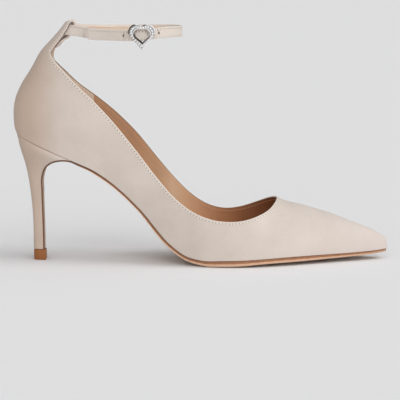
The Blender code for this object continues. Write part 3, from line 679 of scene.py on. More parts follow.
# a thin lining on the side of the tab's inner layer that the ankle touches
tabLiningCut = {"narrower": 0.95, "fromRow": 36, "depths": (-0.34, -0.03)}
tabAngles = np.linspace(tab["footAngle"], 180 - tab["footAngle"], upperCut["tab"] + 1)
grid = tabColumns(90 + (tabAngles - 90) * tabLiningCut["narrower"])[:, tabLiningCut["fromRow"]:-1]
points, quads = grid.reshape(-1, 3), gridFaces(*grid.shape[:2])
shape, faces, _ = closedLayer(points, quads, *tabLiningCut["depths"], np.ones(len(points)))
addPiece("tabLining", shape, faces, liningPale, "lining", None, upperCut["crease"])


# Rows of thread at an even pitch along a path: each stitch is an ellipsoid half sunk in the surface, and a
# flat dark ellipsoid between each two is the painted shade in the needle hole.
def stitchRow(path, normal, thread):
    run = arcLength(path)
    count = int((run[-1] - 2 * thread["ends"]) / thread["pitch"])
    places = thread["ends"] + thread["pitch"] * (0.5 + np.arange(count))

    def sample(values, at):
        return np.stack([np.interp(at, run, values[:, k]) for k in range(3)], axis=1)

    def frameAt(at, half):
        ahead = unit(sample(path, at + half) - sample(path, at - half))
        up = unit(sample(normal, at))
        return sample(path, at), ahead, unit(np.cross(up, ahead)), up

    half = 0.5 * thread["length"]
    centre, ahead, across, up = frameAt(places, half)
    middle = centre + up * thread["lift"]
    threads = ellipsoids(middle, ahead * half, across * 0.5 * thread["width"], up * thread["height"])
    centre, ahead, across, up = frameAt(places[:-1] + 0.5 * thread["pitch"], half)
    hole = thread["hole"]
    return threads, ellipsoids(centre, ahead * hole, across * hole, up * thread["holeHeight"], 2, 6)


def joinBodies(*bodies):
    starts = np.cumsum([0] + [len(some) for some, _ in bodies])
    faces = [[corner + start for corner in face]
             for start, (_, theirs) in zip(starts, bodies) for face in theirs]
    return np.concatenate([some for some, _ in bodies]), faces


# rows of stitches as one piece of thread, and as one of the needle holes' painted shade where that has a name
def addStitches(rows, name, thread, slotName, holesName=None):
    addPiece(name, *joinBodies(*(threads for threads, _ in rows)), thread, slotName)
    if holesName:
        addPiece(holesName, *joinBodies(*(holes for _, holes in rows)), paintedHoleShade, slotName)


toplineThread = {"below": 1.4, "pitch": 2.2, "length": 1.7, "width": 0.5, "height": 0.22, "lift": 0.05,
                 "ends": 0.6, "hole": 0.3, "holeHeight": 0.12}
tabThread = dict(toplineThread, hole=0.14)
tabStart = upperCut["side"] + upperCut["corner"]
rows = [stitchRow((edge - away * thread["below"])[part], normal[part], thread) for edge, normal, away in edges
        for part, thread in ((slice(None, tabStart), toplineThread), (slice(tabStart, None), tabThread))]
addStitches(rows, "toplineThread", paleThread, "suede", "toplineNeedleHoleShade")

# the same row shows on the lining, up to where the tab's inner layer covers it
insideThread = dict(toplineThread, below=2.2, ends=1.5)
onSide = slice(None, tabStart - liningCut["underTab"])
below = insideThread["below"]
rows = [stitchRow((edge - away * below - normal * liningDeep)[onSide], -normal[onSide], insideThread)
        for edge, normal, away in edges]
addStitches(rows, "liningThread", tanThread, "lining")

# Sock: the covered board on which the foot stands, crowned across and rounded at its rim.
sock = {"thickness": 2.4, "lift": 0.2, "toeX": 111.5, "inset": 2.9, "toeTaper": 0.018, "crown": 0.5,
        "along": 150, "across": 28, "ends": (0.02, 0.97)}


def sockSurface():
    depth = heelX - backX(last["seatBackZ"]) - sock["inset"]
    back = heelX - depth
    place = 0.5 - 0.5 * np.cos(math.pi * np.linspace(*sock["ends"], sock["along"]))
    x = back + (sock["toeX"] - back) * place
    inset = sock["inset"] + sock["toeTaper"] * np.maximum(x - throatX, 0)
    onHeel = np.sqrt(np.clip(1 - (np.minimum(x - heelX, 0) / depth) ** 2, 0, 1))
    outer, inner = ((lastValue(name + "Feather", np.maximum(x, heelX)) - inset) * onHeel
                    for name in ("outer", "inner"))
    across = np.linspace(-1, 1, sock["across"])
    y = centreY(x)[:, None] + np.where(across < 0, outer[:, None], inner[:, None]) * across
    z = featherZ(x)[:, None] + sock["lift"] + sock["thickness"] + sock["crown"] * (1 - across**2)
    return np.stack(np.broadcast_arrays(x[:, None], y, z), axis=-1)


grid = sockSurface()
sockPoints, sockFaces = grid.reshape(-1, 3), gridFaces(*grid.shape[:2])[:, ::-1]
shape, faces, _ = closedLayer(sockPoints, sockFaces, 0.0, sock["thickness"], np.ones(len(sockPoints)))
addPiece("sock", shape, faces, sockTan, "lining", "insole", upperCut["crease"])

# Outsole: a strip from the toe under the foot, under the heel wing and down the heel breast.
sole = {
    "tipX": 124.3, "gap": 0.3, "seam": 0.05, "nose": 0.7, "flap": 1.0, "foot": 200, "breast": 110,
    "thickness": ((124.3, 1.5), (115.0, 2.0), (101.0, 2.4), (85.0, 2.8), (60.0, 3.3), (40.0, 3.2), (25.0, 3.7),
                  (10.0, 3.75), (-4.0, 3.05), (-11.0, 2.75), (-20.0, 2.4), (-30.0, 2.25), (-45.0, 1.9),
                  (-72.0, 1.8), (-84.0, 1.0)),
    # the middle of the tread is deeper than its edge, and stands on the floor under the ball
    "crown": ((124.3, 0.2), (101.0, 0.7), (60.0, 1.2), (0.0, 1.2), (-12.0, 0.5), (-30.0, 0.4), (-70.0, 0.3),
              (-84.0, 0.0)),
    "crownShare": 0.55, "treadSteps": 9, "treadCrowding": 0.8, "mostCut": 0.45, "crease": 35.0,
    "inset": ((124.3, 0.2), (30.0, 0.4), (-10.0, 1.2), (-70.0, 1.4), (-84.0, 0.9)),
    "breastLine": ((-84.0, 68.15, 20.6, 84.1), (-87.0, 68.7, 20.9, 83.7), (-91.3, 68.7, 20.6, 81.4),
                   (-95.4, 67.8, 18.8, 78.2), (-98.9, 66.0, 15.6, 74.3), (-102.2, 62.8, 11.6, 69.0),
                   (-104.6, 56.5, 7.8, 60.0), (-104.9, 45.5, 5.6, 47.0), (-104.7, 33.9, 4.9, 34.5),
                   (-104.4, 21.8, 4.5, 22.0), (-104.3, 7.4, 4.3, 7.4)),
    # places in x between which the stain darkens, the bevel is painted paler as painted light while the stain
    # runs deeper, the stain covers the flap, and the seam above opens to the gap
    "darkX": (-55.0, -84.0), "paintedLitBevelX": (-2.0, -36.0), "paintedLitBevelTone": 0.2, "stainDepth": 0.7,
    "flapX": (-76.0, -86.0), "flapStain": 6.0, "seamX": (-60.0, -84.0),
    # share of the edge's height, inset from the edge, and tone, from the top of the edge to the tread
    "edge": ((1.0, 0.3, 1.7), (0.97, 0.08, 1.7), (0.85, 0.0, 1.5), (0.6, 0.0, 1.1), (0.46, 0.0, 1.0),
             (0.43, 0.02, 0.5), (0.14, 0.32, 0.5), (0.04, 0.54, 0.5), (0.0, 0.75, 0.0)),
}


# points down the heel breast with their half width, back height and the direction out of the heel
def breastCurve(count, step=0.1):
    table = np.array(sole["breastLine"])
    chord = arcLength(table[:, :2])
    curve = curveThrough(chord, table)
    places = np.linspace(0, chord[-1], count)
    ahead = unit(curve(places + step)[:, :2] - curve(places - step)[:, :2])
    return curve(places), np.stack([-ahead[:, 1], ahead[:, 0]], axis=1), places, chord[1]


# Each ring of the sole: down its edge, then across the tread, which sinks by its crown times a smooth step.
def soleRings(step=0.5):
    def along(name, x):
        table = np.array(sole[name])
        return curveThrough(-table[:, 0], table[:, 1])(-x)

    def passing(name, x):
        front, rear = sole[name]
        return smoothStep((front - x) / (front - rear))

    x = sole["tipX"] - np.linspace(0, math.sqrt(sole["tipX"] - sole["breastLine"][0][0]), sole["foot"]) ** 2
    secant = np.sqrt(1 + ((featherZ(x + step) - featherZ(x - step)) / (2 * step)) ** 2)
    seam = sole["seam"] + (sole["gap"] - sole["seam"]) * passing("seamX", x)
    top = featherZ(x) - seam * secant
    bottom = featherZ(x) - (sole["gap"] + along("thickness", x)) * secant
    values, outward, _, _ = breastCurve(sole["breast"])
    tops = np.concatenate([np.stack([x, top], axis=1), values[1:, :2]])
    bottoms = np.concatenate([np.stack([x, bottom], axis=1), values[1:, :2] + sole["flap"] * outward[1:]])
    sink = np.concatenate([along("crown", x) * secant, np.zeros(len(values) - 1)])
    under, less = np.maximum(x, heelX), along("inset", x)
    halves = [np.maximum(lastValue(name + "Feather", under) - less, sole["nose"])
              for name in ("outer", "inner")]
    outerHalf, innerHalf = (np.concatenate([some, values[1:, 2]])[:, None] for some in halves)
    middle = np.concatenate([centreY(x), np.zeros(len(values) - 1)])[:, None]
    share, cut, tone = np.array(sole["edge"]).T
    cut = cut * np.minimum(1.0, sole["mostCut"] * np.minimum(outerHalf, innerHalf) / cut.max())
    # the mask of the bevel painted paler as painted light, where the stain also runs deeper
    paintedLitBevel = passing("paintedLitBevelX", tops[:, :1])
    share = share ** (1 + sole["stainDepth"] * paintedLitBevel + sole["flapStain"] * passing("flapX", tops[:, :1]))
    edge = bottoms[:, None] + share[..., None] * (tops - bottoms)[:, None]
    across = np.linspace(1, 0, sole["treadSteps"] + 1)[1:] ** sole["treadCrowding"]
    lower = sink[:, None] * smoothStep((1 - across) / (1 - sole["crownShare"]))
    treadX = np.repeat(bottoms[:, :1], len(across), 1)
    tread = np.stack([treadX, np.maximum(bottoms[:, 1:] - lower, 0.0)], axis=-1)
    line = np.concatenate([edge, tread], axis=1)
    outer = np.concatenate([middle - outerHalf + cut, middle - outerHalf * across], axis=1)
    inner = np.concatenate([middle + innerHalf - cut, middle + innerHalf * across], axis=1)
    near = np.stack([line[..., 0], outer, line[..., 1]], axis=-1)
    far = np.stack([line[..., 0], inner, line[..., 1]], axis=-1)
    tone = np.concatenate([tone, 0 * across])
    stained = tone + passing("darkX", tops[:, :1]) * (2 - tone)
    tone = np.where(tone >= 1, stained, tone * (1 - sole["paintedLitBevelTone"] * paintedLitBevel))
    return np.concatenate([near, far[:, -2::-1]], axis=1), np.concatenate([tone, tone[:, -2::-1]], axis=1)


rings, tone = soleRings()
piece = addPiece("soleStrip", *loft(rings), soleLeather, "sole_leather", "outsole", sole["crease"])
paintValues(piece, "edgeTone", tone.ravel())


# Heel: sections fan out from the stem to the heel seat, flat in front and rounded behind. The first ring
# lies close under the seat, along the upper's lower edge.
heelBlock = {"rings": 70, "half": 30, "spread": 1.1, "overrun": 0.2, "squareness": 0.25, "samples": 240,
             "wingShare": 0.1, "seatGap": 0.09, "seatGapX": (-95.0, -106.0), "seatInset": 0.05,
             "crease": 45.0}


def heelRings():
    values, outward, places, wing = breastCurve(heelBlock["samples"])
    down, start = places / places[-1], heelBlock["wingShare"] * wing / places[-1]
    share = start + (1 - start) * np.linspace(0, 1, heelBlock["rings"]) ** heelBlock["spread"]
    lines = [values[:, k] - sole["seam"] * outward[:, k] for k in (0, 1)]
    front = np.stack([np.interp(share, down, line) for line in lines], axis=1)
    half, backZ = np.interp(share, down, values[:, 2]), np.interp(share, down, values[:, 3])
    back = np.stack([backX(backZ), backZ], axis=1)
    blend = np.sqrt((share - start) / (1 - start))
    over = (1.0 + heelBlock["overrun"] * (1 - blend))[:, None]
    power = (1.0 - heelBlock["squareness"] * blend)[:, None]
    first = np.arcsin(1 - 1 / over)
    turn = first + (math.pi / 2 - first) * np.linspace(0, 1, heelBlock["half"])
    forward = over * (1 - np.sin(turn))
    wide = half[:, None] * np.cos(turn).clip(0) ** power / np.cos(first) ** power
    line = back[:, None] + forward[..., None] * (front - back)[:, None]
    side = np.stack([line[..., 0], -wide, line[..., 1]], axis=-1)
    seat = side[:1].copy()
    front, rear = heelBlock["seatGapX"]
    opening = heelBlock["seatGap"] * smoothStep((seat[..., 0] - front) / (rear - front))
    seat[..., 2] = featherZ(seat[..., 0]) - sole["seam"] - opening
    reach = (heelX - seat[..., 0]) / (heelX - backX(last["seatBackZ"]))
    seat[..., 1] = (heelBlock["seatInset"] - sections[-1, 2]) * np.sqrt(np.clip(1 - reach ** 2, 0, 1))
    side = np.concatenate([seat, side])
    return np.concatenate([side, side[:, -2::-1] * (1, -1, 1)], axis=1)


addPiece("heelCover", *loft(heelRings()), suede, "suede", "heel", heelBlock["crease"])


# Wearing tip under the stem: the stem's outline carried down, with rounded rims and a slight flare.
tip = {"height": 7.0, "frontX": -102.5, "half": 4.5, "steps": 26, "crease": 50.0,
       "levels": ((0.0, 0.45), (0.15, 0.15), (0.5, 0.0), (6.2, 0.1), (6.7, 0.2), (7.0, 0.5))}


def tipRings():
    back = float(backX(tip["height"]))
    turn = np.linspace(0, math.pi / 2, tip["steps"])
    x = tip["frontX"] + (back - tip["frontX"]) * np.sin(turn)
    y = tip["half"] * np.cos(turn).clip(0) ** (1 - heelBlock["squareness"])
    side = np.stack([x, -y], axis=1)
    outline = np.concatenate([side, side[-2::-1] * (1, -1)])
    z, cut = np.array(tip["levels"]).T
    middle = outline.mean(axis=0)
    shrink = 1 - cut[:, None, None] / tip["half"]
    plan = middle + (outline - middle) * shrink
    return np.concatenate([plan, np.broadcast_to(z[:, None, None], plan.shape[:2] + (1,))], axis=-1)


addPiece("wearTip", *loft(tipRings()), tipBrown, "tip", "top_piece", tip["crease"])


# Ankle strap: suede outside and lining inside, along one route from the buckle bar to the free end.
strap = {
    "width": 7.0, "thickness": 1.6, "crease": 50.0,
    "tunnelZ": 153.9, "tunnelAngles": (38.0, 55.0, 72.0, 90.0, 108.0, 125.0, 142.0),
    "underLayer": ((-38.0, -24.6, 150.3), (-46.0, -23.6, 150.1), (-55.0, -20.9, 150.2), (-66.0, -16.6, 150.5),
                   (-77.0, -11.9, 151.8)),
    "roundAnkle": ((-77.0, 11.9, 152.4), (-65.0, 16.9, 151.8), (-52.0, 22.6, 151.5), (-38.0, 25.6, 151.6),
                   (-24.0, 21.9, 151.7), (-15.0, 12.4, 151.8), (-12.4, 0.0, 151.9), (-15.0, -14.0, 152.0),
                   (-22.0, -23.4, 152.0), (-30.0, -28.3, 151.4), (-37.0, -29.9, 150.5), (-44.0, -29.5, 150.1),
                   (-51.0, -27.0, 150.1), (-60.0, -22.3, 150.2), (-67.0, -18.6, 150.3), (-74.8, -15.3, 150.6)),
    "hookTurn": 200.0, "hookSteps": 8, "hookRings": 60, "barGap": 1.7, "steps": 420,
    "tipLength": 4.5, "tipRings": 24, "tipEnd": 0.495, "freeFrom": 0.62, "freeSamples": 800,
    "holesX": (-48.7, -41.8, -34.1, -26.9), "holeRadius": 0.7, "holeSides": 24, "pinReach": 1.25,
}


def strapRoute():
    angles = np.array(strap["tunnelAngles"])
    point, inward, up = heelFrame(angles, np.full_like(angles, strap["tunnelZ"]))
    tunnel = point + (tab["wall"] + tab["tunnel"] / 2) * inward
    start, end = np.array(strap["underLayer"]), np.array(strap["roundAnkle"])
    turn = np.radians(np.linspace(strap["hookTurn"], 0, strap["hookSteps"] + 1))[:-1]
    circle = np.stack([np.sin(turn), np.cos(turn), 0 * turn], axis=1)
    hook = start[0] - (0, strap["barGap"], 0) + strap["barGap"] * circle
    line = np.concatenate([hook, start, tunnel, end])
    lean = np.concatenate([np.tile(upright, (len(hook) + len(start), 1)), up, np.tile(upright, (len(end), 1))])
    chord = arcLength(line)
    return curveThrough(chord, np.concatenate([line, lean], axis=1)), chord


strapCurve, strapChord = strapRoute()
strapLength = strapChord[-1]


# centre, direction of the thickness towards the ankle, and direction of the width, at places on the route
def strapFrame(places, step=0.2):
    values = strapCurve(places)
    after, before = strapCurve(np.minimum(places + step, strapLength)), strapCurve(np.maximum(places - step, 0))
    ahead = unit((after - before)[:, :3])
    thick = unit(np.cross(ahead, values[:, 3:]))
    return values[:, :3], thick, np.cross(thick, ahead)


# a rectangle with rounded corners, between two depths
def roundedBand(half, low, high, radius, steps=5):
    turn = np.linspace(0, math.pi / 2, steps)
    centres = ((half - radius, high - radius), (radius - half, high - radius), (radius - half, low + radius),
               (half - radius, low + radius))
    turns = [turn + k * math.pi / 2 for k in range(len(centres))]
    return np.concatenate([np.stack([x + radius * np.cos(some), y + radius * np.sin(some)], 1)
                           for some, (x, y) in zip(turns, centres)])


def strapLayer(low, high, radius, narrower):
    tipStart = strapLength - strap["tipLength"]
    hookEnd = strapChord[strap["hookSteps"]]
    onHook = np.linspace(0, hookEnd, strap["hookRings"])[:-1]
    onBand = np.linspace(hookEnd, tipStart, strap["steps"])[:-1]
    tipTurn = np.linspace(0, strap["tipEnd"] * math.pi, strap["tipRings"])
    onTip = tipStart + strap["tipLength"] * np.sin(tipTurn)
    places = np.concatenate([onHook, onBand, onTip])
    centre, thick, wide = strapFrame(places)
    intoTip = np.clip((places - tipStart) / strap["tipLength"], 0, 1)
    shape = roundedBand(0.5 * strap["width"] - narrower, low, high, radius)
    narrowing = np.sqrt(1 - intoTip**2)
    across = shape[:, 0] * narrowing[:, None]
    rings = centre[:, None] + across[..., None] * wide[:, None] + shape[:, 1, None] * thick[:, None]
    return rings, (places, centre, thick, wide, narrowing)


# holes through the free end, cut as round pins across the band
def cutHoles(piece, centre, thick, wide, ahead):
    turn = np.linspace(0, fullTurn, strap["holeSides"], endpoint=False)
    ring = np.cos(turn)[:, None] * wide[:, None] + np.sin(turn)[:, None] * ahead[:, None]
    ring = strap["holeRadius"] * ring
    for k in range(len(centre)):
        ends = np.stack([centre[k] + ring[k] + side * strap["pinReach"] * thick[k] for side in (-1, 1)])
        pin = newMesh("pin", *loft(ends), paintedHoleShade)
        cut = piece.modifiers.new("hole", "BOOLEAN")
        cut.operation = "DIFFERENCE"
        cut.solver = "EXACT"
        cut.material_mode = "TRANSFER"  # the punched wall takes the pin's painted shade
        cut.object = pin
        bpy.context.view_layer.update()
        made = bpy.data.meshes.new_from_object(piece.evaluated_get(bpy.context.evaluated_depsgraph_get()))
        piece.modifiers.clear()
        piece.data = made
        bpy.data.objects.remove(pin, do_unlink=True)


half = 0.5 * strap["thickness"]
# the strap's layers, with its painted light: paler in front and a painted highlight along its edges
strapLayers = {"suedeInner": 0.42, "liningOuter": 0.45, "suedeRadius": 0.34, "liningRadius": 0.15,
               "liningNarrower": 1.4, "paintedLightFront": 0.18, "paintedLightFrontX": (-42.0, -30.0),
               "paintedEdgeHighlight": 0.45, "edge": (2.8, 3.3)}
rings, _ = strapLayer(-half, strapLayers["suedeInner"], strapLayers["suedeRadius"], 0.0)
strapSuede = addPiece("strapSuede", *loft(rings), suede, "suede", "ankle_strap", strap["crease"])
rings, _ = strapLayer(strapLayers["liningOuter"], half, strapLayers["liningRadius"],
                      strapLayers["liningNarrower"])
strapLining = addPiece("strapLining", *loft(rings), liningPeach, "lining", None, strap["crease"])


# stitches along both edges of the strap, round its tip, outside and inside
strapThread = {"inset": 1.2, "insideInset": 2.0, "pitch": 2.05, "length": 1.5, "width": 0.45, "height": 0.2,
               "lift": 0.04, "ends": 1.0, "hole": 0.36, "holeHeight": 0.14}


def strapRow(side, depth, inset):
    _, (places, centre, thick, wide, narrowing) = strapLayer(-half, half, strapLayers["suedeRadius"], 0.0)
    clear = places < strapLength - inset
    reach = side * (0.5 * strap["width"] - inset) * narrowing[:, None]
    path = centre + reach * wide + depth * thick
    return path[clear], (math.copysign(1.0, depth) * thick)[clear]


lowerThread = dict(strapThread, hole=0.2)
rows = [stitchRow(*strapRow(side, -half, strapThread["inset"]), thread)
        for side, thread in ((-1, lowerThread), (1, strapThread))]
addStitches(rows, "strapThread", paleThread, "suede", "strapNeedleHoleShade")
rows = [stitchRow(*strapRow(side, half, strapThread["insideInset"]), strapThread) for side in (-1, 1)]
addStitches(rows, "strapLiningThread", tanThread, "lining")
# the holes lie on the free end, where it runs back along the outer side
free = np.linspace(strap["freeFrom"] * strapLength, strapLength, strap["freeSamples"])
falling = free[np.argmax(strapCurve(free)[:, 0]):]
holePlaces = np.interp(-np.array(strap["holesX"]), -strapCurve(falling)[:, 0], falling)
centre, thick, wide = strapFrame(holePlaces)
for piece in (strapSuede, strapLining):
    cutHoles(piece, centre, thick, wide, np.cross(wide, thick))


# the strap's painted light: paler in front, and a painted highlight along its edges by each point's distance
# from the middle of the band
def strapPaintedLight():
    flat = np.zeros(3 * len(strapSuede.data.vertices), np.float32)
    strapSuede.data.vertices.foreach_get("co", flat)
    spots = flat.reshape(-1, 3) / mm + shoeCentre
    centre, _, wide = strapFrame(np.linspace(0, strapLength, strap["steps"]))
    nearest = np.array([np.argmin(((centre - spot) ** 2).sum(axis=1)) for spot in spots])
    across = np.abs(((spots - centre[nearest]) * wide[nearest]).sum(axis=1))
    (rear, front), (inner, outer) = strapLayers["paintedLightFrontX"], strapLayers["edge"]
    tone = strapLayers["paintedLightFront"] * smoothStep((spots[:, 0] - rear) / (front - rear))
    return tone + strapLayers["paintedEdgeHighlight"] * smoothStep((across - inner) / (outer - inner))


# painted light on the strap's suede: paler in front and a painted highlight along its edges
paintValues(strapSuede, "rimTone", strapPaintedLight())


# Heart buckle: a channel of metal with raised rims, set with small stones between beads, and a bar behind.
buckle = {
    "x": -37.2, "backY": -31.1, "topZ": 157.6, "size": (17.5, 16.5), "lobe": 0.3, "opening": (10.8, 9.7),
    "openingLobe": 0.36, "rim": 3.1, "depth": 2.2,
    "bar": 1.2, "barX": -38.0, "barY": -26.3, "barEnds": (143.3, 155.1), "legSink": 0.2,
    # share of the way from the outer to the inner outline, and depth below the front
    "profile": ((0.0, 2.2), (0.0, 0.45), (0.03, 0.18), (0.08, 0.1), (0.15, 0.14), (0.19, 0.3), (0.22, 0.85),
                (0.78, 0.85), (0.81, 0.3), (0.85, 0.14), (0.92, 0.1), (0.97, 0.18), (1.0, 0.45), (1.0, 2.2)),
    "innerLean": (0.35, 1.0), "innerNarrower": 0.97,
    # the frame's painted reflection of the dark room at the upper left and between the stones below, and
    # painted shade on the channel's floor and within the opening
    "rimColumns": 5, "floorColumns": (6, 8), "floorShade": 0.6, "wallShade": (0.75, 1.0),
    "darkSide": (-0.88, 0.47), "gapSide": (-0.72, -0.69), "darkFrom": 0.5, "darkRise": 2.0, "gapShade": 0.85,
    "flash": ((0.0, linear(34, 32, 33)), (0.3, linear(120, 117, 116)), (0.55, linear(226, 226, 227)),
              (1.0, linear(254, 254, 254))),
    "bright": (0.75, -0.2, -0.6), "evenTone": 0.8, "toneTurn": 0.55, "toneSpread": 0.42,
    "stones": 24, "stoneSides": 8, "stoneRadius": 0.92, "stoneSeat": 0.55, "stoneSpin": 0.7, "girdle": 0.18,
    "tableShare": 0.58, "stoneRise": 0.5, "stoneDepth": 0.75, "stoneCrease": 1.0, "scatterSeed": 5,
    "bead": 0.3, "beadShares": (0.27, 0.73), "beadDepth": 0.35,
}


# Heart outline, point down: two lobes as arcs, and straight sides that touch them and meet below.
def heart(size, lobeShare, top, lobeSteps=40, sideSteps=24):
    radius = lobeShare * size[0]
    lobeX = 0.5 * size[0] - radius
    below = radius - size[1]
    notch = math.acos(lobeX / radius)
    touch = math.asin(radius / math.hypot(lobeX, below)) - math.atan2(lobeX, -below)
    turn = np.linspace(math.pi - notch, -touch, lobeSteps)
    lobe = np.stack([lobeX + radius * np.cos(turn), radius * np.sin(turn)], axis=1)
    share = np.linspace(0, 1, sideSteps + 1)[1:, None]
    right = np.concatenate([lobe, lobe[-1] + share * (np.array([0.0, below]) - lobe[-1])])
    return np.concatenate([right, right[-2:0:-1] * (-1, 1)]) + (buckle["x"], top - radius)


def inPlane(plan, y):
    return np.stack([plan[..., 0], np.broadcast_to(y, plan.shape[:-1]), plan[..., 1]], axis=-1)


outerHeart = heart(buckle["size"], buckle["lobe"], buckle["topZ"])
innerHeart = heart(buckle["opening"], buckle["openingLobe"], buckle["topZ"] - buckle["rim"])
share, depth = np.array(buckle["profile"]).T
frontY = buckle["backY"] - buckle["depth"]
plan = outerHeart[:, None] + share[:, None] * (innerHeart - outerHeart)[:, None]
innerMiddle = innerHeart.mean(axis=0)
plan[:, -1] = innerMiddle + (innerHeart - innerMiddle) * buckle["innerNarrower"] + buckle["innerLean"]
ringPoints = inPlane(plan, frontY + depth)


# Polished metal with faint polishing marks, painted dark by the shade attribute as painted reflection and
# painted shade.
def metalPaint(place):
    marks = place.noise(1.1, 4.0, 0.7)
    bright = marks.mixColour(linear(206, 205, 204), linear(243, 243, 242))
    colour = place.attribute("shade").mixColour(bright, linear(40, 36, 34))
    return {"Base Color": colour, "Roughness": 0.1 + 0.14 * marks}


# Mirror-backed stones: each facet's colour is a painted reflection of a bright or a dark part of the room.
def stonePaint(place):
    flash = place.attribute("facetTone")
    return {"Base Color": flash.ramp(buckle["flash"]), "Roughness": 0.03 + 0.06 * flash}


silver = newMaterial("silver", {"Metallic": 1.0}, metalPaint)
stone = newMaterial("stone", {"Metallic": 0.8, "Coat Weight": 0.5, "Coat Roughness": 0.02}, stonePaint)
ringFaces = gridFaces(*ringPoints.shape[:2], closeFirst=True, closeSecond=True)


# the bar and its legs: a round wire along a path with rounded corners
def barRings(steps=8, sides=14, bend=0.9):
    inside = buckle["backY"] - buckle["legSink"] * buckle["depth"]
    low, high = buckle["barEnds"]
    turn = np.linspace(0, math.pi / 2, steps)
    lower = np.stack([buckle["barY"] - bend + bend * np.sin(turn), low + bend - bend * np.cos(turn)], axis=1)
    upper = np.stack([buckle["barY"] - bend + bend * np.cos(turn), high - bend + bend * np.sin(turn)], axis=1)
    line = np.concatenate([[(inside, low)], lower, upper, [(inside, high)]])
    ahead = unit(np.gradient(line, axis=0))
    out = np.stack([ahead[:, 1], -ahead[:, 0]], axis=1)
    around = np.linspace(0, fullTurn, sides, endpoint=False)
    radius = 0.5 * buckle["bar"]
    yz = line[:, None] + radius * np.sin(around)[None, :, None] * out[:, None]
    x = np.broadcast_to(buckle["barX"] + radius * np.cos(around), yz.shape[:2])
    return np.stack([x, yz[..., 0], yz[..., 1]], axis=-1)


# painted shade and painted reflection of each point of the frame, by the way its rim faces and by its column in
# the profile
def frameShade():
    ahead = unit(np.roll(outerHeart, -1, axis=0) - np.roll(outerHeart, 1, axis=0))
    outward = np.stack([-ahead[:, 1], ahead[:, 0]], axis=1)
    around = arcLength(np.concatenate([outerHeart, outerHeart[:1]]))
    gaps = 0.5 + 0.5 * np.cos(fullTurn * buckle["stones"] * around[:-1] / around[-1])
    darkFrom = buckle["darkFrom"]
    facing = [(outward @ np.array(buckle[side]) - darkFrom) / (1 - darkFrom)
              for side in ("darkSide", "gapSide")]
    arc, lower = (smoothStep(some * buckle["darkRise"]) for some in facing)
    shade = np.zeros(ringPoints.shape[:2])
    shade[:, :buckle["rimColumns"]] = np.maximum(arc, buckle["gapShade"] * lower * gaps)[:, None]
    shade[:, slice(*buckle["floorColumns"])] = buckle["floorShade"]
    shade[:, -2:] = buckle["wallShade"]
    return shade.ravel()


bar, barFaces = loft(barRings())
ring = (ringPoints.reshape(-1, 3), ringFaces.tolist())
piece = addPiece("heartFrame", *joinBodies(ring, (bar, barFaces)), silver, "metal", "buckle")
paintValues(piece, "shade", np.concatenate([frameShade(), np.full(len(bar), buckle["floorShade"])]))

# places for the stones: even steps along the middle of the rim
middle = 0.5 * (outerHeart + innerHeart)
run = arcLength(np.concatenate([middle, middle[:1]]))
places = run[-1] * (np.arange(buckle["stones"]) + 0.5) / buckle["stones"]


def onRim(at, line):
    closed = np.concatenate([line, line[:1]])
    return np.stack([np.interp(np.mod(at, run[-1]), run, closed[:, k]) for k in (0, 1)], axis=1)


# Cut stones: each has an eight sided girdle, a smaller table above it and a point below, turned a little.
def stones():
    sides = buckle["stoneSides"]
    centre = onRim(places, middle)
    seat = frontY + buckle["stoneSeat"]
    corner = np.linspace(0, fullTurn, sides, endpoint=False)
    turn = corner + np.arange(len(centre))[:, None] * buckle["stoneSpin"]
    rows = []
    for radius, rise in ((1.0, -buckle["girdle"]), (1.0, 0.0), (buckle["tableShare"], buckle["stoneRise"])):
        spin = turn + (math.pi / sides if radius < 1 else 0.0)
        reach = buckle["stoneRadius"] * radius
        plan = centre[:, None] + reach * np.stack([np.cos(spin), np.sin(spin)], axis=-1)
        rows.append(inPlane(plan, seat - rise))
    point = inPlane(centre[:, None], seat + buckle["stoneDepth"])
    faces = gridFaces(len(rows), sides, closeSecond=True).tolist()
    faces.append(((len(rows) - 1) * sides + np.arange(sides)).tolist())
    faces += [[(k + 1) % sides, k, len(rows) * sides] for k in range(sides)]
    return [(some, faces) for some in np.concatenate(rows + [point], axis=1)]


piece = addPiece("heartStones", *joinBodies(*stones()), stone, "metal", None, buckle["stoneCrease"])

# a facet's painted reflection follows its direction, with a scatter: the bright side of the room is on the
# right
normal = np.zeros(3 * len(piece.data.polygons), np.float32)
piece.data.polygons.foreach_get("normal", normal)
scatter = np.random.default_rng(buckle["scatterSeed"]).uniform(-0.5, 0.5, len(piece.data.polygons))
facing = normal.reshape(-1, 3) @ np.array(buckle["bright"])
tone = buckle["evenTone"] + buckle["toneTurn"] * facing + buckle["toneSpread"] * scatter
paintValues(piece, "facetTone", np.clip(tone, 0, 1), "FACE")

# beads that hold the stones, between each two, on both sides of the channel
between = run[-1] * np.arange(buckle["stones"]) / buckle["stones"]
beadLines = [outerHeart + share * (innerHeart - outerHeart) for share in buckle["beadShares"]]
beadY = frontY + buckle["beadDepth"]
beadCentres = np.concatenate([inPlane(onRim(between, line), beadY) for line in beadLines])
axes = np.tile(np.eye(3) * buckle["bead"], (len(beadCentres), 1, 1)).transpose(1, 0, 2)
addPiece("heartBeads", *ellipsoids(beadCentres, *axes, 4, 8), silver, "metal")

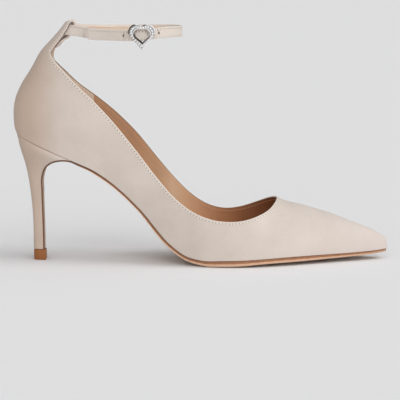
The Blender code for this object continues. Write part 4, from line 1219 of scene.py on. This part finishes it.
# stage, light and camera
stage = {"floor": linear(238, 238, 239), "half": 40.0}
corners = stage["half"] * np.array([(-1, -1, 0), (1, -1, 0), (1, 1, 0), (-1, 1, 0)])
floorMesh = bpy.data.meshes.new("floor")
floorMesh.from_pydata(corners.tolist(), [], [(0, 1, 2, 3)])


def floorPaint(place):
    dust = place.noise(400.0, 2.0, 0.5)
    return {"Roughness": 0.7 + 0.1 * dust}


floorLook = {"Base Color": stage["floor"], "Specular IOR Level": 0.05}
floorMesh.materials.append(newMaterial("paleFloor", floorLook, floorPaint))
floor = bpy.data.objects.new("floor", floorMesh)
bpy.context.scene.collection.objects.link(floor)


def aim(thing, eye, target):
    thing.location = eye
    thing.rotation_euler = (Vector(target) - Vector(eye)).to_track_quat("-Z", "Y").to_euler()
    bpy.context.scene.collection.objects.link(thing)


# a soft key from the right, a little in front, and a very wide light from the front
lights = {
    "key": {"eye": (1.5, -0.33, 1.9), "angle": 32.0, "strength": 0.92},
    "front": {"eye": (0.1, -1.0, 0.4), "angle": 80.0, "strength": 1.75},
}
for name, light in lights.items():
    lamp = bpy.data.lights.new(name, "SUN")
    lamp.angle = math.radians(light["angle"])
    lamp.energy = light["strength"]
    aim(bpy.data.objects.new(name, lamp), light["eye"], (0.0, 0.0, 0.0))
# the room is brighter towards the right
room = {"middle": 0.42, "right": 0.16}
world = bpy.data.worlds.new("studio")
world.use_nodes = True
background = world.node_tree.nodes["Background"]
background.inputs["Color"].default_value = (1.0, 1.0, 1.0, 1.0)
direction = Shade(world.node_tree).node("ShaderNodeTexCoord", {}, {}, "Generated")
strength = room["middle"] + room["right"] * direction.along("X")
world.node_tree.links.new(strength.socket, background.inputs["Strength"])
bpy.context.scene.world = world
bpy.context.scene.view_settings.view_transform = "Standard"

# the camera's lens, place and aim, in the shoe's millimetres
view = {"sensor": 36.0, "lens": 163.98, "eye": (0.0, -1200.0, 207.0), "target": (0.0, 0.0, 39.7)}
camera = bpy.data.cameras.new("camera")
camera.sensor_width, camera.lens = view["sensor"], view["lens"]
cameraObject = bpy.data.objects.new("camera", camera)
aim(cameraObject, *(((np.array(view[end]) - shoeCentre) * mm).tolist() for end in ("eye", "target")))
bpy.context.scene.camera = cameraObject
print("stage and camera ready")
